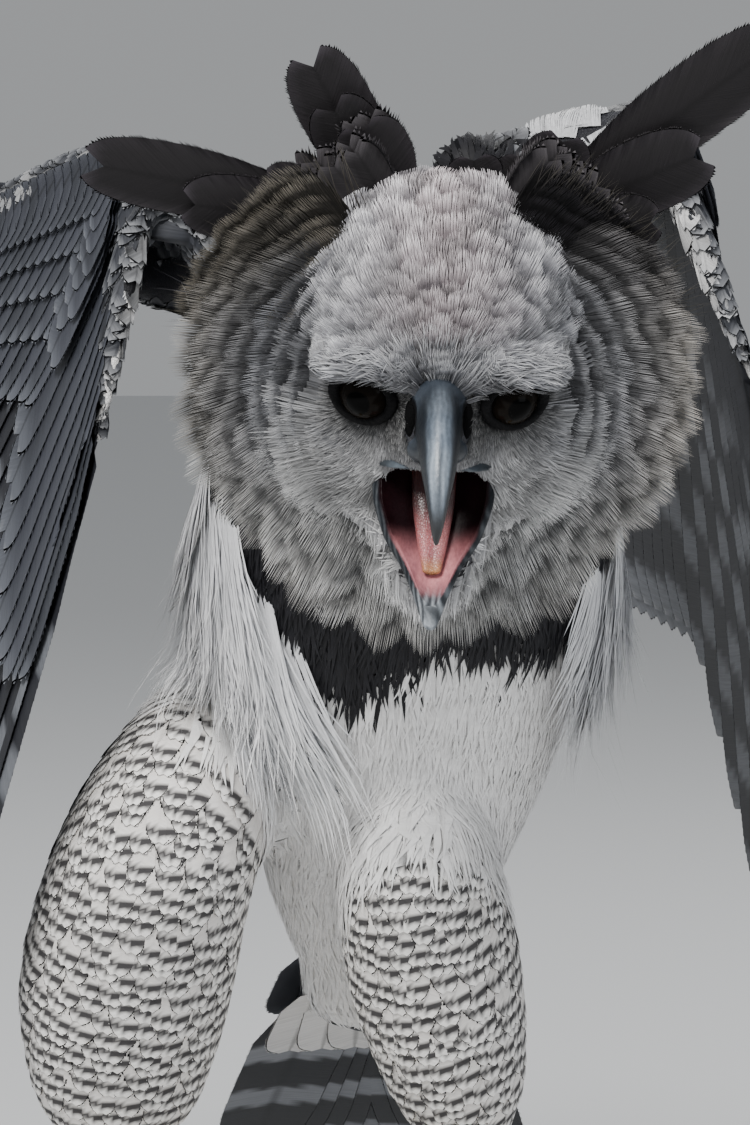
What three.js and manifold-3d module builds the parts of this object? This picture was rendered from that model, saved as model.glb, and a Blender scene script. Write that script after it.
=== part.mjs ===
// A harpy eagle, life size, as a still museum model: it leans forward with the beak open,
// the facial disc and crest raised and both wings half spread.
// Millimetres, +Z up. The bird faces -Y, so its right side is at -X.

import * as THREE from "three";
import { mergeVertices } from "three/addons/utils/BufferGeometryUtils.js";
import Module from "manifold-3d";

const wasm = await Module();
wasm.setup();
const { Manifold, Mesh } = wasm;

// Driving dimensions
const GAP = 0.34; // left between pieces that meet
const FLIGHT_THICK = 0.8;
const COVERT_THICK = 0.7;
const FLIGHT_PITCH = 1.9; // from one flight feather up to the one that lies over it
const COVERT_PITCH = 1.3;
const EYE_RADIUS = 13;
const EYE_AT = { out: 30, front: -5, up: 6 };
const DISC_RADIUS = 121;
const NAPE = 50; // how far behind the eyes the head ends and the crest's root begins
const JAW_HANG = 45; // degrees
const TAIL_FEATHERS = 12;
const TAIL_LENGTH = 385;
const PRIMARIES = 10;
const SECONDARIES = 11;
const TERTIALS = 3;
const TOE_FLOOR = 2.4; // how deep a toe's pad is cut flat by the floor

// The head's own frame: its origin is midway between the eyes, -Y is along the bill.
const HEAD_AT = [27, -240, 520];
const HEAD_PITCH = 24;
const HEAD_ROLL = 2.5;

// Stations of the body from the back of the head to the root of the tail:
// a point of the spine, half the width and half the depth there.
const BODY = [
  { at: [27, -196, 542], w: 50, d: 50 },
  { at: [26, -158, 562], w: 60, d: 56 },
  { at: [24, -116, 552], w: 76, d: 64 },
  { at: [21, -80, 514], w: 94, d: 80 },
  { at: [18, -44, 462], w: 101, d: 88 },
  { at: [13, -6, 402], w: 96, d: 86 },
  { at: [8, 32, 342], w: 83, d: 76 },
  { at: [3, 68, 288], w: 67, d: 62 },
  { at: [0, 98, 244], w: 50, d: 47 },
  { at: [-2, 122, 210], w: 32, d: 28 },
];
const NECK_CUT = { at: [24, -72, 490], along: [0, 0.994, -0.106] };

const LEGS = {
  right: {
    hip: [-54, 28, 350], knee: [-94, -18, 304], shin: [-115, 2, 234],
    calf: [-121, 22, 176], ankle: [-123, 34, 128], foot: [-125, -8, 25], turn: -14, wide: 56,
  },
  left: {
    hip: [32, 48, 350], knee: [18, 2, 304], shin: [27, 20, 236],
    calf: [39, 40, 176], ankle: [45, 52, 128], foot: [50, 10, 25], turn: 10, wide: 47,
  },
};

// The joints of each wing, and the way that its upper face looks.
const WINGS = {
  right: {
    shoulder: [-60, -50, 562], elbow: [-172, 75, 580], wrist: [-104, -72, 617], tip: [-124, -94, 490],
    upper: [-1, 0, 0], cup: 8, inward: 1,
  },
  left: {
    shoulder: [50, -58, 600], elbow: [112, 96, 590], wrist: [126, -48, 634], tip: [170, -64, 516],
    upper: [1, 0, 0], cup: 26, inward: -1,
  },
};

const V = (x, y, z) => new THREE.Vector3(x, y, z);
const vector = (list) => V(...list);
const radians = THREE.MathUtils.degToRad;
const { lerp } = THREE.MathUtils;
const mix = (a, b, t) => a.clone().lerp(b, t);
const range = (n) => Array.from({ length: n }, (_, i) => i);

// A repeatable draw from -1 to 1 for the nth of a set of like pieces.
const draw = (n, salt = 0) => {
  const s = Math.sin(n * 127.1 + salt * 311.7) * 43758.5453;
  return 2 * (s - Math.floor(s)) - 1;
};

// The value at t of a row of [t, value] keys, running on past both ends.
function between(keys, t) {
  let k = 0;
  while (k + 2 < keys.length && t > keys[k + 1][0]) k++;
  const [[ta, a], [tb, b]] = [keys[k], keys[k + 1]];
  return lerp(a, b, (t - ta) / (tb - ta));
}

// A closed three.js geometry as a manifold-3d solid, with its faces turned out.
function solidOf(geometry) {
  const plain = geometry.clone();
  plain.deleteAttribute("normal");
  plain.deleteAttribute("uv");
  const merged = mergeVertices(plain, 1e-4);
  const triVerts = new Uint32Array(merged.index.array);
  const vertProperties = merged.attributes.position.array;
  const made = new Manifold(new Mesh({ numProp: 3, vertProperties, triVerts }));
  if (made.volume() > 0) return made;
  for (let i = 0; i < triVerts.length; i += 3)
    [triVerts[i + 1], triVerts[i + 2]] = [triVerts[i + 2], triVerts[i + 1]];
  return new Manifold(new Mesh({ numProp: 3, vertProperties, triVerts }));
}

function solidFrom(points, faces) {
  return solidOf(new THREE.BufferGeometry().setFromPoints(points).setIndex(faces));
}

// Rings of points joined one to the next, with a pole closing each end.
function skinOver(rings, start, end) {
  const n = rings[0].length;
  const points = [...rings.flat(), start, end];
  const [poleA, poleB] = [points.length - 2, points.length - 1];
  const faces = [];
  for (let j = 0; j < n; j++) {
    const k = (j + 1) % n;
    faces.push(poleA, k, j);
    for (let i = 0; i + 1 < rings.length; i++) {
      const [a, b, c, d] = [i * n + j, i * n + k, (i + 1) * n + k, (i + 1) * n + j];
      faces.push(a, b, c, a, c, d);
    }
    const last = (rings.length - 1) * n;
    faces.push(poleB, last + j, last + k);
  }
  return solidFrom(points, faces);
}

// A limb or trunk: oval rings along a smooth curve through its stations, rounded at both ends.
function loft(stations, { sides = 14, steps = 10, across = V(1, 0, 0), cap = 0.6 } = {}) {
  const spine = new THREE.CatmullRomCurve3(stations.map((s) => vector(s.at)), false, "centripetal");
  const radii = new THREE.CatmullRomCurve3(stations.map((s) => V(s.w, s.d, 0)), false, "centripetal");
  const ring = (t, scale, push) => {
    const along = spine.getTangent(t);
    const side = across.clone().addScaledVector(along, -across.dot(along)).normalize();
    const up = along.clone().cross(side);
    const { x: w, y: d } = radii.getPoint(t);
    const centre = spine.getPoint(t).addScaledVector(along, push * Math.min(w, d));
    return range(sides).map((j) => {
      const a = (j / sides) * 2 * Math.PI;
      const [right, above] = [w * scale * Math.cos(a), d * scale * Math.sin(a)];
      return centre.clone().addScaledVector(side, right).addScaledVector(up, above);
    });
  };
  const middle = (points) => points.reduce((sum, p) => sum.add(p), V(0, 0, 0)).divideScalar(points.length);
  const between = range(steps + 1).map((i) => ring(i / steps, 1, 0));
  const rings = [ring(0, 0.7, -0.7 * cap), ...between, ring(1, 0.7, 0.7 * cap)];
  return skinOver(rings, middle(ring(0, 0.7, -cap)), middle(ring(1, 0.7, cap)));
}

// An ellipsoid with its radii along X, Y and Z, then turned by degrees about each.
function egg(centre, radii, { sides = 14, rows = 8, turn = [0, 0, 0] } = {}) {
  const geometry = new THREE.SphereGeometry(1, sides, rows);
  geometry.scale(...radii);
  geometry.rotateX(radians(turn[0])).rotateY(radians(turn[1])).rotateZ(radians(turn[2]));
  return solidOf(geometry.translate(...centre));
}

// A leaf of even thickness. at(u, v, h) is the point at height h over its middle surface, with
// u from root to tip and v across. Both faces are split into the same triangles.
function leaf(at, us, vs, thick) {
  const n = vs.length;
  const grid = (h) => us.flatMap((u) => vs.map((v) => at(u, v, h)));
  const points = [...grid(thick / 2), ...grid(-thick / 2)];
  const size = points.length / 2;
  const faces = [];
  const quad = (a, b, c, d) => faces.push(a, b, c, a, c, d);
  for (let i = 0; i + 1 < us.length; i++)
    for (let j = 0; j + 1 < n; j++) {
      const [a, b, c, d] = [i * n + j, i * n + j + 1, (i + 1) * n + j + 1, (i + 1) * n + j];
      faces.push(a, b, c, a, c, d, size + a, size + c, size + b, size + a, size + d, size + c);
    }
  for (let i = 0; i + 1 < us.length; i++) {
    const [near, far] = [i * n, (i + 1) * n];
    quad(near, far, size + far, size + near);
    quad(far + n - 1, near + n - 1, size + near + n - 1, size + far + n - 1);
  }
  const last = (us.length - 1) * n;
  for (let j = 0; j + 1 < n; j++) {
    quad(j + 1, j, size + j, size + j + 1);
    quad(last + j, last + j + 1, size + last + j + 1, size + last + j);
  }
  return solidFrom(points, faces);
}

const union = (list) => Manifold.union(list);
const largest = (solid) => solid.decompose().reduce((a, b) => (b.volume() > a.volume() ? b : a));

// A solid grown by moving each of its faces out: a corner goes where all its faces meet again.
function swell(solid, by = GAP) {
  const { vertProperties, triVerts, numVert, numProp } = solid.getMesh();
  const corners = range(numVert).map((i) => V(...vertProperties.slice(i * numProp, i * numProp + 3)));
  const soft = 0.02;
  const spread = corners.map(() => new THREE.Matrix3().set(soft, 0, 0, 0, soft, 0, 0, 0, soft));
  const moves = corners.map(() => V(0, 0, 0));
  for (let i = 0; i < triVerts.length; i += 3) {
    const face = triVerts.slice(i, i + 3);
    const [a, b, c] = Array.from(face, (k) => corners[k]);
    const n = b.clone().sub(a).cross(c.clone().sub(a)).normalize();
    const outer = [n.x, n.y, n.z].flatMap((p) => [p * n.x, p * n.y, p * n.z]);
    for (const k of face) {
      outer.forEach((value, e) => (spread[k].elements[e] += value));
      moves[k].addScaledVector(n, by);
    }
  }
  const moved = corners.map((p, k) => {
    const move = moves[k].applyMatrix3(spread[k].invert()).clampLength(0, 2 * by);
    return p.clone().add(move);
  });
  return solidFrom(moved, Array.from(triVerts));
}

const clearOf = (solid, ...others) => others.reduce((left, other) => left.subtract(swell(other)), solid);

// The half of a solid on the side that the direction points to.
function half(solid, at, along, gap = GAP / 2) {
  const way = vector(along).normalize();
  return solid.trimByPlane(way.toArray(), way.dot(vector(at)) + gap);
}

// A feather's half width from root to tip: narrow where it leaves the skin, then broad, then round.
function outline(u, wide, tip = 0.4) {
  const end = Math.max(0, (u - 0.7) / 0.3);
  return wide * lerp(0.5, 1, Math.min(1, u / 0.3)) * lerp(1, tip, end * end);
}

// Where a feather's outline has its corners, from root to tip.
const SHORT = [0, 0.5, 0.85, 1];
const BRIEF = [0, 0.65, 1];

// A fan of feathers laid on one sheet. Each is drawn flat, at root(i) and turned by turn(i)
// from +Y, then put on the sheet and tilted over the feather before and under the next.
function shaftThrough(fan, x, y) {
  let [low, high] = [-4, fan.count + 3];
  for (let k = 0; k < 16; k++) {
    const i = (low + high) / 2;
    const [rootX, rootY] = fan.root(i);
    const a = fan.turn(i);
    if ((x - rootX) * Math.cos(a) > (y - rootY) * Math.sin(a)) low = i;
    else high = i;
  }
  return low;
}

function vane(fan, i) {
  const [rootX, rootY] = fan.root(i);
  const a = fan.turn(i);
  const length = fan.length(i) * (1 + 0.02 * draw(i, fan.base));
  const at = (u, v, h) => {
    const [along, over] = [length * u, v * outline(u, fan.wide, fan.tip)];
    const x = rootX + along * Math.sin(a) + over * Math.cos(a);
    const y = rootY + along * Math.cos(a) - over * Math.sin(a);
    const tilt = fan.pitch * (i - Math.min(fan.under ?? Infinity, shaftThrough(fan, x, y)));
    return fan.sheet(x, y, fan.base + tilt * Math.min(1, 0.62 + 2 * u) + h);
  };
  return leaf(at, fan.us, [-1, 1], fan.thick);
}

const feathers = (fan) => range(fan.count).map((i) => vane(fan, i));

// A single feather from root to tip, its broad face turned towards facing, cupped and bowed.
function plume({ root, tip, wide, facing = [0, -1, 0], bow = 6, cup = 3, end = 0.45, us = SHORT }) {
  const from = vector(root);
  const length = vector(tip).distanceTo(from);
  const along = vector(tip).sub(from).normalize();
  const over = vector(facing).cross(along).normalize();
  const face = along.clone().cross(over).normalize();
  const at = (u, v, h) =>
    from.clone()
      .addScaledVector(along, length * u)
      .addScaledVector(over, v * outline(u, wide, end))
      .addScaledVector(face, bow * u * u - cup * v * v + h);
  return leaf(at, us, [-1, 0, 1], FLIGHT_THICK);
}

// Head

const skull = () => egg([0, 36, 30], [66, 62, 58], { sides: 13, rows: 7 });

function faceSolid() {
  const cheeks = egg([0, 28, -20], [70, 46, 62], { sides: 12, rows: 6 });
  const muzzle = egg([0, -10, -8], [27, 25, 28], { sides: 10, rows: 6 });
  const chin = egg([0, -6, -60], [26, 17, 36], { sides: 8, rows: 5, turn: [-40, 0, 0] });
  const brows = [-1, 1].map((s) =>
    egg([s * 32, -7, 26], [27, 21, 8.5], { sides: 8, rows: 4, turn: [6, s * 14, s * -12] }),
  );
  return half(union([skull(), cheeks, muzzle, chin, ...brows]), [0, NAPE, 0], [0, -1, 0]);
}

function eyeball(s) {
  const radii = [EYE_RADIUS, EYE_RADIUS, EYE_RADIUS];
  return egg([s * EYE_AT.out, EYE_AT.front, EYE_AT.up], radii, { sides: 10, rows: 6 });
}

// A ring of lid round the eye, turned to look forward and out.
function lid(s) {
  const geometry = new THREE.TorusGeometry(12.4, 2.2, 3, 10);
  const out = radians(24);
  const ahead = 6.5;
  geometry.scale(1.1, 0.86, 1).rotateX(radians(90)).rotateZ(s * out);
  const [right, front] = [s * (EYE_AT.out + ahead * Math.sin(out)), EYE_AT.front - ahead * Math.cos(out)];
  geometry.translate(right, front, EYE_AT.up);
  return solidOf(geometry);
}

// The bill's upper half: sections across it from the forehead over and down to the hook.
const UPPER_BILL = [
  { at: [0, -14, 3], w: 14, d: 20 },
  { at: [0, -30, 3.5], w: 11.2, d: 18.5 },
  { at: [0, -44, 1.5], w: 9.8, d: 15.5 },
  { at: [0, -57, -3], w: 7.9, d: 12 },
  { at: [0, -66, -9], w: 5.7, d: 9 },
  { at: [0, -72.5, -16], w: 3.8, d: 6 },
  { at: [0, -75.5, -23], w: 2.3, d: 3.4 },
  { at: [0, -75.8, -28.5], w: 1.3, d: 1.4 },
];
const GAPE = { half: 27, front: -8, up: -28 };

const billHorn = () => loft(UPPER_BILL, { sides: 9, steps: 8, cap: 0.5 });
const rictus = () => egg([0, -10, -20], [GAPE.half - 1, 24, 7], { sides: 10, rows: 5 });

function nostrils() {
  const nostril = (s) => egg([s * 12.4, -27, 5], [3.4, 3.6, 5.6], { sides: 6, rows: 4, turn: [0, 0, s * 20] });
  return union([nostril(-1), nostril(1)]);
}

// The lower jaw in its own frame, where -Y runs along the jaw from the gape, then hung open.
const hang = (solid) => solid.rotate([JAW_HANG, 0, 0]).translate([0, GAPE.front, GAPE.up]);
const JAW = [
  { at: [0, 2, -8], w: 27.5, d: 10 },
  { at: [0, -14, -8], w: 26, d: 11 },
  { at: [0, -30, -8], w: 21, d: 11 },
  { at: [0, -44, -7], w: 12.8, d: 9.5 },
  { at: [0, -57, -5], w: 7.4, d: 7 },
  { at: [0, -66, -2.5], w: 4.6, d: 4.6 },
  { at: [0, -71, -0.5], w: 2.9, d: 2.6 },
];
const TROUGH = [
  { at: [0, 16, 3], w: 24, d: 12 },
  { at: [0, -14, 3], w: 22, d: 12 },
  { at: [0, -30, 3], w: 17, d: 11.5 },
  { at: [0, -44, 3], w: 9.3, d: 9.5 },
  { at: [0, -56, 4], w: 4.6, d: 7 },
  { at: [0, -62, 5], w: 2.4, d: 4 },
];
const TONGUE = [
  { at: [0, 6, -6.8], w: 11, d: 3 },
  { at: [0, -16, -5.2], w: 10, d: 3.4 },
  { at: [0, -34, -4.6], w: 8, d: 3.2 },
  { at: [0, -46, -3.2], w: 4.5, d: 2 },
];
const jawOuter = () => hang(loft(JAW, { sides: 10, steps: 7 }).trimByPlane([0, 0, -1], -1));
const lowerBill = () => jawOuter().subtract(hang(loft(TROUGH, { sides: 8, steps: 5 })));
const tongueSolid = () => hang(loft(TONGUE, { sides: 6, steps: 4 }));

// The open mouth: the wedge between the jaws, running back into the throat.
function mouthSpace() {
  const ring = (y, wide, low, high) =>
    range(8).map((j) => {
      const a = (j / 8) * 2 * Math.PI;
      return V(wide * Math.cos(a), y, lerp(low, high, 0.5 + 0.5 * Math.sin(a)));
    });
  const back = [ring(14, 9, -40, -24), ring(-2, 22, -52, -24)];
  const rings = [...back, ring(-22, 26, -68, -21), ring(-60, 28, -104, -21)];
  return skinOver(rings, V(0, 22, -33), V(0, -62, -62));
}

// The facial disc: tiers of broad feathers round the face, open over the crown.
// Angles run from the upper edge on the right, down round the chin and up again.
const DISC_ARC = { from: radians(140), to: radians(400) };
const DISC_MID = 95;
const DISC_RISE = 0.4; // how far the feathers lean forward for each step outward
const DISC_TIERS = [
  { count: 24, outer: DISC_RADIUS, back: 38, wide: 17, us: BRIEF },
  { count: 21, outer: 0.88 * DISC_RADIUS, back: 33, wide: 17.5, us: BRIEF },
  { count: 17, outer: 0.77 * DISC_RADIUS, back: 28, wide: 19.5, us: BRIEF },
];
const DISC_ROOT = 76;

function discCore() {
  const ring = egg([0, 30, 0], [93, 20, 93], { sides: 14, rows: 6 });
  return ring.trimByPlane([0, 0, -1], -64);
}

function discTier(tier) {
  const step = (DISC_ARC.to - DISC_ARC.from) / (tier.count - 1);
  return {
    count: tier.count,
    root: (i) => [(DISC_ARC.from + i * step) * DISC_MID, DISC_ROOT],
    turn: () => 0,
    length: () => tier.outer - DISC_ROOT,
    wide: tier.wide,
    tip: 0.5,
    pitch: 1.9,
    base: 0,
    thick: COVERT_THICK,
    us: tier.us,
    sheet: (x, y, h) => {
      const a = x / DISC_MID;
      return V(y * Math.cos(a), tier.back - DISC_RISE * (y - 60) - h, y * Math.sin(a));
    },
  };
}

// Darker feathers that fill the disc's upper corners, beside the crown.
const CORNERS = [
  { root: [-46, 34, 50], tip: [-113, 46, 53], wide: 14 },
  { root: [-44, 29, 47], tip: [-100, 38, 64], wide: 12 },
  { root: [46, 34, 50], tip: [68, 44, 80], wide: 13 },
  { root: [46, 29, 46], tip: [92, 38, 55], wide: 14 },
];

// Crest: broad feathers that stand up behind the crown.
const CREST = [
  { root: [-50, 56, 62], tip: [-158, 66, 75], wide: 17 },
  { root: [-46, 52, 58], tip: [-114, 57, 61], wide: 16 },
  { root: [-40, 53, 56], tip: [-80, 61, 73], wide: 14 },
  { root: [-22, 70, 54], tip: [-64, 80, 124], wide: 18 },
  { root: [-20, 62, 56], tip: [-53, 71, 106], wide: 17 },
  { root: [-18, 55, 60], tip: [-39, 62, 101], wide: 18 },
  { root: [15, 54, 62], tip: [11, 63, 88], wide: 13 },
  { root: [30, 55, 60], tip: [33, 62, 89], wide: 13 },
  { root: [40, 60, 56], tip: [50, 69, 97], wide: 16 },
  { root: [42, 72, 50], tip: [145, 84, 143], wide: 19 },
  { root: [44, 65, 54], tip: [113, 75, 90], wide: 19 },
  { root: [46, 55, 54], tip: [94, 60, 62], wide: 14 },
];

const crestCore = () => half(skull(), [0, NAPE, 0], [0, 1, 0]);

// Body

const bodySolid = () => loft(BODY, { sides: 14, steps: 11 });

function thigh(leg) {
  const low = mix(vector(leg.calf), vector(leg.ankle), 0.72).toArray();
  const stations = [
    { at: leg.hip, w: 40, d: 54 },
    { at: leg.knee, w: leg.wide - 5, d: 60 },
    { at: leg.shin, w: leg.wide, d: 56 },
    { at: leg.calf, w: 0.83 * leg.wide, d: 44 },
    { at: low, w: 23, d: 25 },
  ];
  return loft(stations, { sides: 11, steps: 5 });
}

// The bare tarsus, with a row of broad scutes down its front.
function shank(leg) {
  const [ankle, foot] = [vector(leg.ankle), vector(leg.foot)];
  const stations = [
    { at: ankle.toArray(), w: 14, d: 15 },
    { at: mix(ankle, foot, 0.3).toArray(), w: 12, d: 12.5 },
    { at: mix(ankle, foot, 0.7).toArray(), w: 12, d: 12.5 },
    { at: foot.toArray(), w: 15, d: 14 },
  ];
  const way = foot.clone().sub(ankle).normalize();
  const front = V(0, -1, 0).addScaledVector(way, way.y).normalize();
  const scutes = range(4).map((i) => {
    const at = mix(ankle, foot, 0.22 + 0.19 * i).addScaledVector(front, 9.8);
    return egg(at.toArray(), [8.8, 4.4, 9.6], { sides: 6, rows: 3, turn: [22, 0, 0] });
  });
  return union([loft(stations, { sides: 6, steps: 2 }), ...scutes]);
}

// Toes: the way that each points from the foot in degrees, its length, thickness and claw.
const TOES = [
  { name: "inner", way: 34, length: 66, thick: 13, claw: 64 },
  { name: "middle", way: 3, length: 88, thick: 12.5, claw: 56 },
  { name: "outer", way: -30, length: 72, thick: 11.5, claw: 50 },
  { name: "hind", way: 178, length: 58, thick: 14, claw: 80 },
];

function toeWay(leg, toe, s) {
  const a = radians(leg.turn + s * -toe.way);
  return V(Math.sin(a), -Math.cos(a), 0);
}

// A toe runs down from the foot to the floor and along it, swelling at each pad.
function toeSolid(leg, toe, s) {
  const way = toeWay(leg, toe, s);
  const base = vector(leg.foot);
  const r = toe.thick;
  const on = (share, radius, rise = 0) => {
    const p = base.clone().addScaledVector(way, toe.length * share).setZ(radius - TOE_FLOOR + rise);
    return { at: p.toArray(), w: radius, d: radius };
  };
  const start = { at: base.clone().add(V(0, 0, -6)).toArray(), w: r, d: r };
  const pads = [on(0.34, r * 0.92, 1.5), on(0.56, r * 0.8, 1), on(0.78, r * 0.86), on(1, r * 0.62, 2)];
  const stations = [start, ...pads];
  return loft(stations, { sides: 6, steps: 3, across: V(-way.y, way.x, 0) });
}

// A claw: a tapering arc that rises from the toe's end and comes down to the floor.
function clawSolid(leg, toe, s) {
  const way = toeWay(leg, toe, s);
  const reach = toe.claw * 0.78;
  const start = vector(leg.foot).addScaledVector(way, toe.length * 0.97);
  const high = toe.thick * 0.62 + 2;
  const stations = [0, 0.25, 0.5, 0.75, 1].map((t) => {
    const size = lerp(toe.thick * 0.56, 0.9, t ** 0.9);
    const z = lerp(high, 0, t * t) + 0.26 * toe.claw * Math.sin(Math.PI * t) * (1 - 0.45 * t);
    const p = start.clone().addScaledVector(way, reach * t).setZ(Math.max(z, size + 0.4));
    return { at: p.toArray(), w: size * 0.82, d: size };
  });
  return loft(stations, { sides: 5, steps: 3, across: V(-way.y, way.x, 0), cap: 0.7 });
}

// Tail: a fan on a sheet that starts at the rump and slopes down behind.
const TAIL = { at: [-2, 122, 212], down: 22, spread: 16 };
const TAIL_MIDDLE = (TAIL_FEATHERS - 1) / 2;

function tailSheet(x, y, h) {
  const a = radians(TAIL.down);
  const z = h - 0.0006 * x * x - 14 * (y / TAIL_LENGTH) ** 2;
  return vector(TAIL.at).add(V(x, y * Math.cos(a) + z * Math.sin(a), z * Math.cos(a) - y * Math.sin(a)));
}

function tailCore() {
  const on = (y, h, w, d) => ({ at: tailSheet(0, y, h).toArray(), w, d });
  const stations = [on(-26, 0, 34, 30), on(20, 0, 37, 24), on(64, 0, 38, 17), on(104, 1, 34, 11)];
  return loft(stations, { sides: 8, steps: 2 });
}

// One half of the tail: each inner feather lies over the one outside it, and the middle pair
// lies over the rest.
function tailFan(s) {
  const spread = radians(TAIL.spread) / TAIL_FEATHERS;
  return {
    count: TAIL_FEATHERS / 2,
    root: (i) => [4 * (i - TAIL_MIDDLE), 34],
    turn: (i) => (i - TAIL_MIDDLE) * spread,
    length: (i) => TAIL_LENGTH - 34 - 2.6 * (5 - i) ** 1.5,
    wide: 25,
    tip: 0.6,
    pitch: 1.3,
    base: s > 0 ? 6.2 : 0,
    thick: FLIGHT_THICK,
    us: SHORT,
    sheet: (x, y, h) => tailSheet(-s * x, y, h),
    under: TAIL_MIDDLE,
  };
}

function tailCoverts(face) {
  return {
    count: 4,
    root: (i) => [16 * (i - 1.5), 34],
    turn: (i) => 0.06 * (i - 1.5),
    length: () => 130,
    wide: 18,
    pitch: COVERT_PITCH,
    base: face * 12,
    thick: COVERT_THICK,
    us: BRIEF,
    sheet: tailSheet,
  };
}

// Wings

// A wing's chart: x runs from the wrist to the elbow, y from them towards the feathers' tips
// and h up through the wing, which is cupped downwards the farther it is from the wrist.
function wingChart(wing) {
  const [shoulder, elbow, wrist, tip] = ["shoulder", "elbow", "wrist", "tip"].map((key) => vector(wing[key]));
  const alongArm = elbow.clone().sub(wrist).normalize();
  const handWay = tip.clone().sub(wrist);
  const out = handWay.clone().addScaledVector(alongArm, -handWay.dot(alongArm)).normalize();
  const up = alongArm.clone().cross(out);
  if (up.dot(vector(wing.upper)) < 0) up.negate();
  const on = (x, y, h) => {
    const cupped = h - (wing.cup * (x * x + y * y)) / 400 ** 2;
    return wrist.clone().addScaledVector(alongArm, x).addScaledVector(out, y).addScaledVector(up, cupped);
  };
  const [arm, hand, lean] = [elbow.distanceTo(wrist), handWay.dot(out), handWay.dot(alongArm)];
  return { shoulder, elbow, wrist, tip, up, on, arm, hand, lean, inward: wing.inward };
}

const limb = (a, b, radii, across) =>
  loft(radii.map(([t, w, d]) => ({ at: mix(a, b, t).toArray(), w, d })), { sides: 6, steps: 2, across });

// The humerus, and a lobe of scapulars from the shoulder down the back.
function upperArm({ shoulder, elbow, up, inward }) {
  const bone = limb(shoulder, elbow, [[-0.1, 22, 30], [0.45, 19, 28], [1.02, 14, 20]], up);
  const on = (x, y, z, w, d) => ({ at: shoulder.clone().add(V(x * inward, y, z)).toArray(), w, d });
  const lobe = [on(4, -14, 0, 26, 24), on(18, 60, -50, 34, 18), on(26, 132, -124, 20, 8)];
  return union([bone, loft(lobe, { sides: 8, steps: 3 })]);
}

const hand = ({ wrist, tip, up }) => limb(wrist, tip, [[0.02, 12, 15], [0.4, 11, 17], [1.02, 7, 8]], up);

// The forearm, the wing's leading edge and the skin that fills the triangle between.
function foreArm({ shoulder, elbow, wrist, up }) {
  const bone = limb(elbow, wrist, [[0, 15, 21], [0.4, 15, 22], [1.02, 12, 14]], up);
  const edge = limb(shoulder, wrist, [[0.02, 24, 30], [0.5, 17, 24], [0.96, 12, 16]], up);
  const web = (u, v, h) => mix(mix(elbow, wrist, u), mix(shoulder, wrist, u), v).addScaledVector(up, h);
  return union([bone, edge, leaf(web, [0.04, 0.9], [0, 1], 26)]);
}

// Feather numbers along the wing: the outermost primary is 0, the last tertial comes after all
// the secondaries. These keys give the root, the turn and the length of any of them.
const OUTER = PRIMARIES - 0.5;
const INNER = PRIMARIES + SECONDARIES - 0.5;
const WING_TURN = [[0, 31], [OUTER, 52], [INNER, 62], [INNER + TERTIALS, 84]];
const WING_LENGTH = [
  [0, 300], [2, 385], [4, 420], [6, 395], [OUTER, 330], [INNER, 290], [INNER + TERTIALS, 215],
];

function wingFan(chart, first, last, rest) {
  const count = rest.count ?? last - first + 1;
  const acrossKeys = [[-0.5, chart.lean], [OUTER, 0], [INNER, chart.arm], [INNER + TERTIALS, chart.arm - 4]];
  const downKeys = [[-0.5, chart.hand], [OUTER, 0], [INNER, 0], [INNER + TERTIALS, -9]];
  const index = (i) => lerp(first, last, i / (count - 1));
  return {
    count,
    root: (i) => [between(acrossKeys, index(i)), between(downKeys, index(i))],
    turn: (i) => radians(between(WING_TURN, index(i))),
    length: (i) => between(WING_LENGTH, index(i)) * (rest.share ?? 1),
    sheet: chart.on,
    ...rest,
  };
}

function wingFeathers(chart) {
  const row = (first, last, rest) => feathers(wingFan(chart, first, last, rest));
  const flight = { wide: 24, pitch: FLIGHT_PITCH, base: 0, thick: FLIGHT_THICK };
  const covert = { wide: 22, pitch: COVERT_PITCH, thick: COVERT_THICK, us: BRIEF, tip: 0.6 };
  const inner = PRIMARIES + SECONDARIES;
  return {
    hand: [
      ...row(0, PRIMARIES - 1, { ...flight, us: SHORT }),
      ...row(0, PRIMARIES - 1, { ...covert, count: 5, share: 0.42, base: 6.5 }),
    ],
    arm: [
      ...row(PRIMARIES, inner + TERTIALS - 1, { ...flight, us: BRIEF }),
      ...row(PRIMARIES, inner, { ...covert, count: 8, share: 0.46, base: 6.5 }),
      ...row(PRIMARIES, inner, { ...covert, count: 6, share: 0.27, base: 10.5 }),
    ],
  };
}

// The scapulars' ends, which lie down the back from the lobe at the shoulder.
function scapulars({ shoulder, inward }) {
  return range(3).map((i) => {
    const out = (i - 1) * 24;
    const root = shoulder.clone().add(V(inward * 20 + out, 78, -58 - 6 * (i % 2)));
    const tip = root.clone().add(V(inward * 6 + out * 0.2, 86, -94 - 8 * Math.abs(i - 1)));
    const shape = { wide: 21, facing: [0, 0.7, 0.7], bow: -4, cup: 4, us: BRIEF };
    return plume({ root: root.toArray(), tip: tip.toArray(), ...shape });
  });
}

// Materials, one for each finish

const FINISHES = {
  grey_down: [0x9c9a97, 0.9],
  slate: [0x2c3036, 0.75],
  white_down: [0xdedbd2, 0.9],
  barred: [0xcfcdc6, 0.9],
  black_down: [0x17181a, 0.85],
  horn: [0x3c434a, 0.35],
  iris: [0x241a12, 0.12],
  flesh: [0xb5736a, 0.5],
  leg_skin: [0xc9a63f, 0.6],
  flight: [0x33363b, 0.7],
  crest_dark: [0x24211f, 0.85],
};
const materials = Object.fromEntries(
  Object.entries(FINISHES).map(([name, [color, roughness]]) => [
    name,
    new THREE.MeshStandardMaterial({ name, color, roughness, metalness: 0 }),
  ]),
);

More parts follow.
